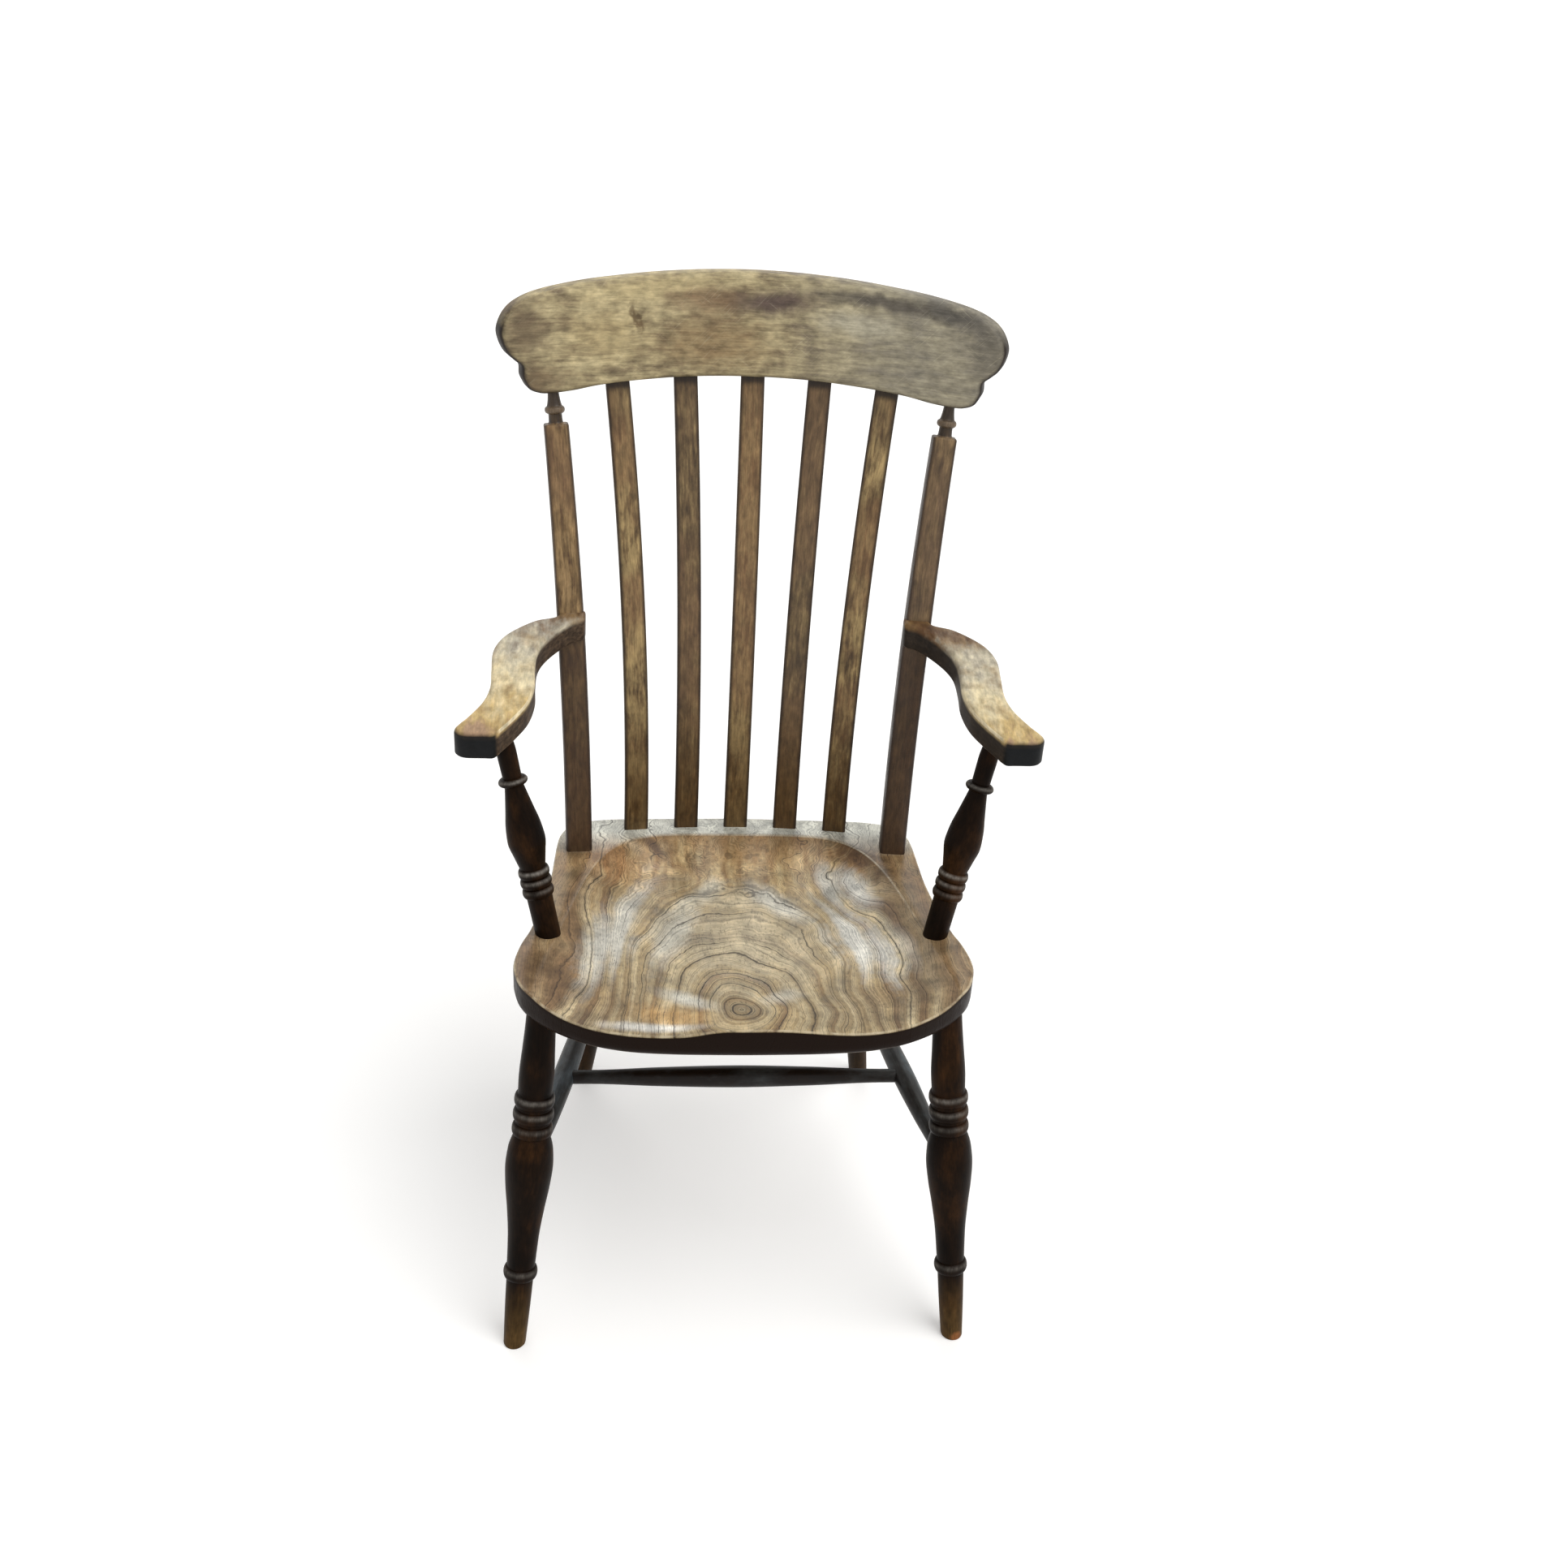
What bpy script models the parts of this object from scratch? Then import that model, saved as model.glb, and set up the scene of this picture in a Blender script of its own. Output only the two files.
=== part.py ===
# Lath-back Windsor armchair. A saddled plank seat carries everything: turned legs and stretchers
# are socketed below it, the lath back and the shaped arms above. Metres, +Z up, front towards -Y.
import math

import bmesh
import bpy
from mathutils import Vector

# Fits
GLUE_LINE = 0.0003  # clearance all round a tenon in its socket
COLLAR = 0.010  # plain length of a turning where it enters a socket

# Seat
SEAT_HEIGHT = 0.437  # rim above the floor
SEAT_THICKNESS = 0.040
SEAT_WIDTH = 0.523
SEAT_DEPTH = 0.435
SEAT_UNDER_ROUND = 0.012
SEAT_ARRIS = 0.002
SADDLE_DEPTH = 0.014
POMMEL_RISE = 0.009
POMMEL_WIDTH = 0.045

# Legs, placed by their sockets in the seat underside and their slopes in degrees
LEG_TENON = 0.024
LEG_TENON_TAPER = 0.004
FRONT_LEG_FULL = 0.054  # diameters at the fullest and at the seat
FRONT_LEG_TOP = 0.034
FRONT_LEG_INSET_X = 0.033
FRONT_LEG_INSET_Y = 0.073
FRONT_LEG_SPLAY = 4.4
FRONT_LEG_RAKE = 14.1
REAR_LEG_FULL = 0.038
REAR_LEG_TOP = 0.029
REAR_LEG_INSET_X = 0.1165
REAR_LEG_INSET_Y = 0.070
REAR_LEG_SPLAY = 7.6
REAR_LEG_RAKE = 12.1

# Stretchers
STRETCHER_HEIGHT = 0.210
STRETCHER_END = 0.017  # diameter at the tenons
STRETCHER_SWELL = 0.027  # diameter at the fullest
STRETCHER_TENON = 0.018
STRETCHER_STOP = 0.008  # from a tenon's end to the axis of the front leg
STRETCHER_REAR_STOP = 0.004
CROSS_PLACE = 0.44  # along the side stretchers, from the front
CROSS_TENON = 0.009

# Stiles
STILE_WIDTH = 0.032
STILE_THICKNESS = 0.026
STILE_CHAMFER = 0.004
STILE_MORTISE = 0.024
STILE_INSET_X = 0.0644
STILE_INSET_Y = 0.0843  # front face from the back edge of the seat
STILE_SPLAY = 3.07
STILE_RAKE = 9.7
STILE_BOW_IN = 0.005
STILE_BOW_FORWARD = 0.004
STILE_BEAD = 0.026  # diameter of the turned bead on top
STILE_TURNING = 0.034  # height of the turned part
STILE_TENON = 0.015  # diameter of the pin on top
STILE_TENON_LENGTH = 0.032
STILE_FACING = 2.6  # radius that the faces of the stiles look towards

# Crest rail
BACK_HEIGHT = 0.571  # underside of the crest in the middle, above the seat rim
CREST_WIDTH = 0.5824
CREST_TALL = 0.1140
CREST_THICKNESS = 0.024
CREST_ROUND = 0.006
CREST_RADIUS = 0.90  # of the bend in plan
CREST_LEAN = 14.0

# Laths
LATH_COUNT = 5
LATH_WIDTH = 0.030
LATH_THICKNESS = 0.009
LATH_ARRIS = 0.0015
LATH_SPACING = 0.0637  # at the seat
LATH_SPREAD = 0.0785  # at the crest
LATH_INSET_Y = 0.0228
LATH_ROW_RADIUS = 0.95
LATH_BOW = 0.016
LATH_MORTISE = 0.020

# Arms and their supports
ARM_WIDTH = 0.050
ARM_THICKNESS = 0.030
ARM_ROUND = 0.006
ARM_HEIGHT = 0.263  # top at the front tip, above the seat rim
ARM_SLOPE = 10.2
ARM_HOUSING = 0.005  # depth let into the stile
ARM_OVERHANG = 0.0541  # tip in front of the support
SUPPORT_INSET_X = 0.0348
SUPPORT_SET_Y = 0.1798  # from the front edge of the seat
SUPPORT_SPLAY = 11.9
SUPPORT_RAKE = 10.7
SUPPORT_FULL = 0.040  # diameters
SUPPORT_FOOT = 0.029
SUPPORT_HEAD = 0.019
SUPPORT_SEAT_TENON = 0.022
SUPPORT_ARM_TENON = 0.017

# Fixings
SCREW_DIAMETER = 0.0045
SCREW_HEAD = 0.0085
SCREW_RIM = 0.0008
SCREW_REACH = 0.013  # into the arm, in front of the stile
SCREW_OFFSET = 0.004
PEG_DIAMETER = 0.005
PEG_LENGTH = 0.020
PEG_PROUD = 0.0004
PEG_RISE = 0.016  # above the underside of the crest

# Half outline of the seat: fractions of half width, and of depth from the front
SEAT_OUTLINE = (
    (0.0, 0.0), (0.153, 0.001), (0.306, 0.0034), (0.459, 0.0103), (0.574, 0.023), (0.688, 0.046),
    (0.803, 0.085), (0.899, 0.132), (0.964, 0.184), (0.996, 0.246), (1.0, 0.287), (0.990, 0.331),
    (0.973, 0.375), (0.946, 0.425), (0.910, 0.529), (0.880, 0.657), (0.870, 0.759), (0.862, 0.851),
    (0.845, 0.908), (0.792, 0.956), (0.650, 0.985), (0.402, 0.993), (0.210, 0.997), (0.0, 1.0),
)
# Half outline of the crest from the top middle round to the underside: fractions of half width
# and of height, with the lobed end and the small step below it
CREST_OUTLINE = (
    (0.0, 1.0), (0.172, 0.991), (0.309, 0.973), (0.419, 0.952), (0.543, 0.920), (0.670, 0.882),
    (0.790, 0.829), (0.865, 0.782), (0.915, 0.731), (0.955, 0.665), (0.984, 0.570), (1.0, 0.447),
    (0.992, 0.336), (0.973, 0.242), (0.944, 0.173), (0.918, 0.112), (0.915, 0.019), (0.905, -0.041),
    (0.888, -0.105), (0.859, -0.140), (0.816, -0.154), (0.721, -0.135), (0.628, -0.095),
    (0.524, -0.064), (0.419, -0.041), (0.290, -0.018), (0.155, -0.005), (0.0, 0.0),
)
# Arm in plan: out from the seat's half width as fractions of the arm's width, and as fractions
# from the tip to the stile
ARM_OUTER = (
    (0.830, 0.000), (1.120, 0.012), (1.250, 0.045), (1.140, 0.095), (0.990, 0.148), (0.720, 0.265),
    (0.600, 0.387), (0.620, 0.531), (0.640, 0.673), (0.510, 0.776), (0.230, 0.862), (-0.250, 0.951),
)
ARM_INNER = (
    (0.450, 0.008), (0.320, 0.037), (-0.020, 0.144), (-0.270, 0.260), (-0.380, 0.396), (-0.356, 0.531),
    (-0.370, 0.667), (-0.530, 0.772), (-0.850, 0.880), (-1.140, 0.948),
)
# Turned profiles: fractions of the length from the bottom, and of the fullest diameter
FRONT_LEG_PROFILE = (
    (-0.060, 0.463), (0.000, 0.481), (0.060, 0.537), (0.140, 0.593), (0.197, 0.611), (0.204, 0.667),
    (0.230, 0.722), (0.256, 0.667), (0.263, 0.630), (0.340, 0.667), (0.430, 0.796), (0.500, 0.935),
    (0.560, 1.000), (0.610, 0.944), (0.640, 0.833), (0.652, 0.722), (0.658, 0.787), (0.676, 0.815),
    (0.694, 0.787), (0.698, 0.731), (0.702, 0.787), (0.720, 0.815), (0.738, 0.787), (0.742, 0.731),
    (0.746, 0.787), (0.764, 0.806), (0.780, 0.778), (0.786, 0.713), (0.830, 0.731), (0.910, 0.676),
)
REAR_LEG_PROFILE = (
    (-0.060, 0.645), (0.000, 0.671), (0.200, 0.763), (0.380, 0.908), (0.520, 1.000), (0.600, 0.987),
    (0.750, 0.868), (0.900, 0.789),
)
SUPPORT_PROFILE = (
    (0.100, 0.725), (0.185, 0.737), (0.194, 0.850), (0.214, 0.900), (0.235, 0.850), (0.239, 0.775),
    (0.243, 0.850), (0.262, 0.900), (0.280, 0.850), (0.284, 0.775), (0.288, 0.850), (0.309, 0.900),
    (0.328, 0.850), (0.334, 0.737), (0.402, 0.875), (0.469, 1.000), (0.536, 0.938), (0.608, 0.775),
    (0.680, 0.650), (0.719, 0.613), (0.727, 0.725), (0.744, 0.812), (0.760, 0.825), (0.777, 0.812),
    (0.793, 0.725), (0.801, 0.613), (0.886, 0.562),
)
# Turned top of a stile: fractions of its height above the shoulder, and of the bead's diameter
STILE_TOP = (
    (0.000, 0.827), (0.059, 0.712), (0.294, 0.673), (0.338, 0.865), (0.426, 1.000), (0.515, 0.981),
    (0.647, 0.827), (0.824, 0.673), (1.000, 0.577),
)

HALF_WIDTH = SEAT_WIDTH / 2
SEAT_FRONT = -SEAT_DEPTH / 2
SEAT_BACK = SEAT_DEPTH / 2
SEAT_UNDER = SEAT_HEIGHT - SEAT_THICKNESS
SADDLE_SIDE = 0.788 * HALF_WIDTH
SADDLE_MID_Y = SEAT_FRONT + 0.414 * SEAT_DEPTH
SADDLE_BACK = 0.490 * SEAT_DEPTH
SADDLE_FRONT = 0.506 * SEAT_DEPTH
CREST_BASE = SEAT_HEIGHT + BACK_HEIGHT


def slope(degrees):
    return math.tan(math.radians(degrees))


def clear_scene():
    for old in list(bpy.data.objects):
        bpy.data.objects.remove(old, do_unlink=True)


def finish(name, colour, roughness, metallic=0.0):
    material = bpy.data.materials.new(name)
    material.use_nodes = True
    shader = material.node_tree.nodes["Principled BSDF"]
    shader.inputs["Base Color"].default_value = (*colour, 1.0)
    shader.inputs["Roughness"].default_value = roughness
    shader.inputs["Metallic"].default_value = metallic
    return material


def piece(name, shape, look=None):
    # A closed mesh as a named object under the chair; one without a finish is a cutter
    bmesh.ops.recalc_face_normals(shape, faces=shape.faces)
    mesh = bpy.data.meshes.new(name)
    shape.to_mesh(mesh)
    shape.free()
    mesh.shade_smooth()
    mesh.set_sharp_from_angle(angle=math.radians(35))
    made = bpy.data.objects.new(name, mesh)
    bpy.context.scene.collection.objects.link(made)
    made.parent = chair
    if look:
        mesh.materials.append(finish(name + "_finish", *look))
    else:
        made.hide_render = True
        made.display_type = "WIRE"
    return made


def cut(body, cutter):
    socket = body.modifiers.new(cutter.name, "BOOLEAN")
    socket.operation = "DIFFERENCE"
    socket.solver = "EXACT"
    socket.object = cutter


def skin(rings):
    # Joins rings of equal length into one closed shape
    shape = bmesh.new()
    rows = [[shape.verts.new(point) for point in ring] for ring in rings]
    for low, high in zip(rows, rows[1:]):
        for k in range(len(low)):
            after = (k + 1) % len(low)
            shape.faces.new((low[k], low[after], high[after], high[k]))
    shape.faces.new(rows[0])
    shape.faces.new(rows[-1])
    return shape


def spun(name, rows, base, tip, sides, look=None, level=False):
    # Revolves a profile about the line from base to tip; level saws the foot off at the base
    turn = (tip - base).to_track_quat("Z", "Y")
    shape = bmesh.new()
    profile = [(rows[0][0], 0.0), *rows, (rows[-1][0], 0.0)]
    points = [shape.verts.new((width / 2, 0.0, height)) for height, width in profile]
    lines = [shape.edges.new(ends) for ends in zip(points, points[1:])]
    bmesh.ops.spin(
        shape, geom=points + lines, cent=(0, 0, 0), axis=(0, 0, 1), angle=2 * math.pi, steps=sides
    )
    bmesh.ops.remove_doubles(shape, verts=shape.verts, dist=1e-6)
    if level:
        saw(shape, Vector((0, 0, 0)), turn.inverted() @ Vector((0, 0, -1)))
    made = piece(name, shape, look)
    made.location = base
    made.rotation_euler = turn.to_euler()
    return made


def saw(shape, point, outward):
    # Takes off what lies beyond a plane and closes the end
    parts = shape.verts[:] + shape.edges[:] + shape.faces[:]
    bmesh.ops.bisect_plane(
        shape, geom=parts, dist=1e-6, plane_co=point, plane_no=outward, clear_outer=True
    )
    bmesh.ops.holes_fill(shape, edges=[edge for edge in shape.edges if edge.is_boundary], sides=0)


def tenon(start, width, depth, taper=0.0):
    # Rows of a tenon whose shoulder line lies at start, and of the socket that takes it
    made = [(start - COLLAR, width), (start, width), (start + depth, width - taper)]
    grown = 2 * GLUE_LINE
    socket = [
        (start - 2 * COLLAR, width + grown), (start, width + grown),
        (start + depth + GLUE_LINE, width - taper + grown),
    ]
    return made, socket


def slab(outline, thickness, rounding):
    # An outline in the local XY plane as a board hanging below it with rounded edges
    shape = bmesh.new()
    face = shape.faces.new([shape.verts.new((x, y, 0.0)) for x, y in outline])
    body = bmesh.ops.extrude_face_region(shape, geom=[face])["geom"]
    lower = [part for part in body if isinstance(part, bmesh.types.BMVert)]
    bmesh.ops.translate(shape, verts=lower, vec=(0, 0, -thickness))
    bmesh.ops.recalc_face_normals(shape, faces=shape.faces)
    rims = [edge for edge in shape.edges if abs(edge.verts[0].co.z - edge.verts[1].co.z) < 1e-6]
    bmesh.ops.bevel(
        shape, geom=rims, offset=rounding, offset_type="OFFSET", segments=2, profile=0.5,
        affect="EDGES", clamp_overlap=True,
    )
    return shape


def grown(outline, by):
    # The closed outline moved outwards by a clearance
    area = sum(a[0] * b[1] - b[0] * a[1] for a, b in zip(outline, outline[1:] + outline[:1]))
    side = by if area > 0.0 else -by
    moved = []
    for k, (x, y) in enumerate(outline):
        before = Vector(outline[k - 1])
        after = Vector(outline[(k + 1) % len(outline)])
        along = (after - before).normalized()
        moved.append((x + along.y * side, y - along.x * side))
    return moved


def saddle_drop(x, y):
    # How far the hollowed seat lies below its rim: crisp at the horseshoe ridge behind and beside
    # the sitter, open at the front, with the pommel left standing between the thighs
    reach = SADDLE_BACK if y > SADDLE_MID_Y else SADDLE_FRONT
    side = SADDLE_SIDE - 0.23 * y
    ring = (abs(x / side) ** 5 + abs((y - SADDLE_MID_Y) / reach) ** 5) ** 0.2
    if ring >= 1.0:
        return 0.0
    forward = min(max((SADDLE_MID_Y - y) / (SADDLE_MID_Y - SEAT_FRONT), 0.0), 1.0)
    pommel = POMMEL_RISE * math.exp(-((x / POMMEL_WIDTH) ** 2)) * forward * forward
    return max(SADDLE_DEPTH * (1.0 - ring**6) - pommel, 0.0)


def ridge_share(x, y):
    # Share of the way from the seat's middle to a point of its outline where the hollow ends
    low, high = 0.3, 0.985
    for _ in range(30):
        middle = (low + high) / 2
        px, py = x * middle, SADDLE_MID_Y + (y - SADDLE_MID_Y) * middle
        side = SADDLE_SIDE - 0.23 * py
        reach = SADDLE_BACK if py > SADDLE_MID_Y else SADDLE_FRONT
        inside = abs(px / side) ** 5 + abs((py - SADDLE_MID_Y) / reach) ** 5 < 1.0
        low, high = (middle, high) if inside else (low, middle)
    return low


def seat_piece():
    half = [(x * HALF_WIDTH, SEAT_FRONT + y * SEAT_DEPTH) for x, y in SEAT_OUTLINE]
    edge = half + [(-x, y) for x, y in reversed(half[1:-1])]
    middle = Vector((0.0, SADDLE_MID_Y))

    def ring_at(inset, height):
        return [(x, y, height) for x, y in grown(edge, -inset)]

    def top_at(share):
        ring = []
        for x, y in edge:
            point = middle + (Vector((x, y)) - middle) * share(x, y)
            ring.append((point.x, point.y, SEAT_HEIGHT - saddle_drop(point.x, point.y)))
        return ring

    lip = [(x, y, z - SEAT_ARRIS) for x, y, z in top_at(lambda x, y: 1.0)]
    rings = [
        ring_at(SEAT_UNDER_ROUND, SEAT_UNDER),
        ring_at(SEAT_UNDER_ROUND * 0.3, SEAT_UNDER + SEAT_UNDER_ROUND * 0.3),
        ring_at(0.0, SEAT_UNDER + SEAT_UNDER_ROUND),
        lip,
        top_at(lambda x, y: 1.0 - SEAT_ARRIS / Vector((x, y - SADDLE_MID_Y)).length),
    ]
    for inner in (1.0, 0.93, 0.80, 0.62, 0.40, 0.18):
        rings.append(top_at(lambda x, y, inner=inner: inner * ridge_share(x, y)))
    shape = skin(rings)
    shape.faces.ensure_lookup_table()
    hub = bmesh.ops.poke(shape, faces=[shape.faces[-1]])["verts"][0]
    hub.co.z = SEAT_HEIGHT - saddle_drop(hub.co.x, hub.co.y)
    return piece("seat", shape, ((0.27, 0.16, 0.085), 0.45))


def leg(name, side, place, look):
    # place: rows of the profile, diameters, insets from the seat's edges, slopes and sides
    rows, full, width, inset_x, set_y, splay, rake, sides = place
    tip = Vector((side * (HALF_WIDTH - inset_x), set_y, SEAT_UNDER))
    foot = tip + Vector((side * slope(splay), rake, -1.0)) * SEAT_UNDER
    length = (tip - foot).length
    stub, socket = tenon(length, width, LEG_TENON, LEG_TENON_TAPER)
    profile = [(share * length, size * full) for share, size in rows] + stub
    made = spun(name, profile, foot, tip, sides, look, level=True)
    cut(seat, spun(name + "_socket", socket, foot, tip, sides))
    return made, foot, tip


def on_leg(foot, tip, height):
    return foot + (tip - foot) * (height / tip.z)


def stretcher(name, start, end, hosts, depths, swell_at, look):
    # A turned rail from one axis to another; hosts and depths give the piece and the gap left
    # between the tenon and the axis at each end
    length = (end - start).length
    first, last = depths[0], length - depths[1]
    near, far = first + STRETCHER_TENON + COLLAR, last - STRETCHER_TENON - COLLAR
    fullest = length * swell_at
    waist = STRETCHER_END + 0.65 * (STRETCHER_SWELL - STRETCHER_END)
    rows = [
        (first, STRETCHER_END), (near, STRETCHER_END), ((near + fullest) / 2, waist),
        (fullest - COLLAR, STRETCHER_SWELL), (fullest + COLLAR, STRETCHER_SWELL),
        ((far + fullest) / 2, waist), (far, STRETCHER_END), (last, STRETCHER_END),
    ]
    made = spun(name, rows, start, end, 16, look)
    bore = STRETCHER_END + 2 * GLUE_LINE
    ends = ((first - GLUE_LINE, near), (far, last + GLUE_LINE))
    for label, host, span in zip("ab", hosts, ends):
        cut(host, spun(f"{name}_{label}_bore", [(at, bore) for at in span], start, end, 16))
    return made


def stile_front(side, share):
    # Point on the front face of a stile; share 0 at the seat and 1 at the shoulder
    bow = 4.0 * share * (1.0 - share)
    rise = STILE_RISE * share
    return Vector((
        side * (HALF_WIDTH - STILE_INSET_X + slope(STILE_SPLAY) * rise - STILE_BOW_IN * bow),
        SEAT_BACK - STILE_INSET_Y + slope(STILE_RAKE) * rise - STILE_BOW_FORWARD * bow,
        SEAT_HEIGHT + rise,
    ))


def frame_at(path, share, radius):
    # Point on a path with its upward, sideways and forward directions; faces follow the bend
    point = path(share)
    up = (path(share + 1e-3) - path(share - 1e-3)).normalized()
    wide = Vector((1.0, -point.x / radius, 0.0))
    wide = (wide - up * wide.dot(up)).normalized()
    return point, up, wide, wide.cross(up)


def squared(centre, wide, deep, width, depth, front, back):
    # Sixteen points round a chamfered rectangle, or round a circle when front is None
    if front is None:
        turns = [2 * math.pi * k / 16 for k in range(16)]
        flat = [(math.cos(turn) * width / 2, math.sin(turn) * width / 2) for turn in turns]
    else:
        w, d = width / 2, depth / 2
        corners = [
            (w, d - front), (w - front / 2, d - front / 2), (w - front, d), (0.0, d),
            (front - w, d), (front / 2 - w, d - front / 2), (-w, d - front), (-w, 0.0),
            (-w, back - d), (back / 2 - w, back / 2 - d), (back - w, -d), (0.0, -d),
            (w - back, -d), (w - back / 2, back / 2 - d), (w, back - d),
        ]
        flat = [(w, 0.0), *corners]
    return [centre + wide * u + deep * v for u, v in flat]


def stile(name, side, look):
    def path(share):
        return stile_front(side, share)

    sunk = STILE_MORTISE / STILE_RISE
    stations = [-sunk, 0.0, 0.125, 0.25, 0.375, 0.5, 0.625, 0.75, 0.875, 1.0]

    def rings(grow):
        made = []
        for share in stations:
            share -= grow / STILE_RISE if share < 0.0 else 0.0
            point, _, wide, front = frame_at(path, share, STILE_FACING)
            centre = point - front * (STILE_THICKNESS / 2)
            size = (STILE_WIDTH + 2 * grow, STILE_THICKNESS + 2 * grow)
            made.append(squared(centre, wide, front, *size, STILE_CHAMFER, STILE_CHAMFER / 2))
        return made

    point, up, wide, front = frame_at(path, 1.0, STILE_FACING)
    crown = point - front * (STILE_THICKNESS / 2)
    body = rings(0.0)
    turning = [(height * STILE_TURNING, width * STILE_BEAD) for height, width in STILE_TOP]
    for height, width in (*turning, (STILE_TURNING + STILE_TENON_LENGTH, STILE_TENON)):
        body.append(squared(crown + up * height, wide, front, width, 0.0, None, None))
    made = piece(name, skin(body), look)
    cut(seat, piece(name + "_mortise", skin(rings(GLUE_LINE)[:3])))
    pin = [
        (STILE_TURNING, STILE_TENON + 2 * GLUE_LINE),
        (STILE_TURNING + STILE_TENON_LENGTH + GLUE_LINE, STILE_TENON + 2 * GLUE_LINE),
    ]
    cut(crest, spun(name + "_pin_hole", pin, crown, crown + up, 16))
    return made


def crest_front_y(x, z):
    # Front surface of the crest: leaning back, ends brought forward, in line with the stiles
    top = stile_front(1.0, 1.0)
    return top.y + (z - top.z) * slope(CREST_LEAN) + (top.x**2 - x * x) / (2 * CREST_RADIUS)


def crest_under(x):
    # Height of the underside of the crest at a given distance from the middle
    share = abs(x) / (CREST_WIDTH / 2)
    low = [point for point in CREST_OUTLINE if point[1] < 0.001 and point[0] < 0.89]
    for (far, high), (near, less) in zip(low, low[1:]):
        if near <= share <= far:
            at = (share - near) / (far - near)
            return CREST_BASE + CREST_TALL * (less + (high - less) * at)
    return CREST_BASE


def crest_piece():
    half = [(x * CREST_WIDTH / 2, y * CREST_TALL) for x, y in CREST_OUTLINE]
    shape = slab(half + [(-x, y) for x, y in reversed(half[1:-1])], CREST_THICKNESS, CREST_ROUND)
    for k in range(-7, 8):
        parts = shape.verts[:] + shape.edges[:] + shape.faces[:]
        bmesh.ops.bisect_plane(
            shape, geom=parts, dist=1e-5, plane_co=(k * CREST_WIDTH / 16, 0, 0), plane_no=(1, 0, 0)
        )
    for vert in shape.verts:
        x, rise, depth = vert.co
        vert.co = (x, crest_front_y(x, CREST_BASE + rise) - depth, CREST_BASE + rise)
    return piece("crest_rail", shape, ((0.24, 0.17, 0.09), 0.55))


def lath(name, place, look):
    x0, x1 = place * LATH_SPACING, place * LATH_SPREAD
    top = crest_under(x1)
    y0 = SEAT_BACK - LATH_INSET_Y - x0 * x0 / (2 * LATH_ROW_RADIUS) + LATH_THICKNESS / 2
    y1 = crest_front_y(x1, top) + CREST_THICKNESS / 2
    rise = top - SEAT_HEIGHT

    def path(share):
        bow = 4.0 * share * (1.0 - share)
        return Vector((
            x0 + (x1 - x0) * share - bow * 0.25 * LATH_BOW * place,
            y0 + (y1 - y0) * share - bow * LATH_BOW,
            SEAT_HEIGHT + rise * share,
        ))

    def board(grow):
        sunk = (LATH_MORTISE + grow) / rise
        rings = []
        for share in (-sunk, 0.0, 0.125, 0.25, 0.375, 0.5, 0.625, 0.75, 0.875, 1.0, 1.0 + sunk):
            point, _, wide, front = frame_at(path, share, LATH_ROW_RADIUS)
            w, d, c = LATH_WIDTH / 2 + grow, LATH_THICKNESS / 2 + grow, LATH_ARRIS
            flat = (
                (w, c - d), (w, d - c), (w - c, d), (c - w, d), (-w, d - c), (-w, c - d),
                (c - w, -d), (w - c, -d),
            )
            rings.append([point + wide * u + front * v for u, v in flat])
        return skin(rings)

    made = piece(name, board(0.0), look)
    mortise = piece(name + "_mortise", board(GLUE_LINE))
    cut(seat, mortise)
    cut(crest, mortise)
    return made


def arm_top(y):
    return SEAT_HEIGHT + ARM_HEIGHT + (y - ARM_TIP) * slope(ARM_SLOPE)


def arm_joint(side):
    # Where the middle of the arm's thickness meets the front face of the stile
    low, high = 0.2, 0.9
    for _ in range(40):
        share = (low + high) / 2
        point = stile_front(side, share)
        drop = ARM_THICKNESS / 2 / math.cos(math.radians(ARM_SLOPE))
        if point.z < arm_top(point.y) - drop:
            low = share
        else:
            high = share
    return frame_at(lambda at: stile_front(side, at), low, STILE_FACING)


def arm_board(name, side, grow, look=None):
    # Blank of an arm, sawn to the stile's face; grown by a clearance it cuts its own housing
    point, _, wide, front = arm_joint(side)
    tilt = math.radians(ARM_SLOPE)
    length = point.y - ARM_TIP
    past = length + STILE_THICKNESS
    inner, outer = (abs(point.x) + way * STILE_WIDTH / 2 for way in (-1.0, 1.0))
    plan = [(HALF_WIDTH + out * ARM_WIDTH, share * length) for out, share in ARM_OUTER]
    plan += [(outer, length), (outer, past), (inner, past), (inner, length * 0.985)]
    plan += [(HALF_WIDTH + out * ARM_WIDTH, share * length) for out, share in reversed(ARM_INNER)]
    plan = [(side * x, y / math.cos(tilt)) for x, y in plan]
    shape = slab(grown(plan, grow), ARM_THICKNESS + 2 * grow, ARM_ROUND)
    bmesh.ops.translate(shape, verts=shape.verts, vec=(0, 0, grow))
    origin = Vector((0.0, ARM_TIP, arm_top(ARM_TIP)))
    end = point - front * (ARM_HOUSING - GLUE_LINE + grow) - origin
    turn = Vector((0.0, math.cos(tilt), math.sin(tilt)))
    rise = Vector((0.0, -math.sin(tilt), math.cos(tilt)))
    flat = [Vector((v.x, v.dot(turn), v.dot(rise))) for v in (end, -front)]
    saw(shape, flat[0], flat[1])
    made = piece(name, shape, look)
    made.location = origin
    made.rotation_euler = (tilt, 0.0, 0.0)
    return made


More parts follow.
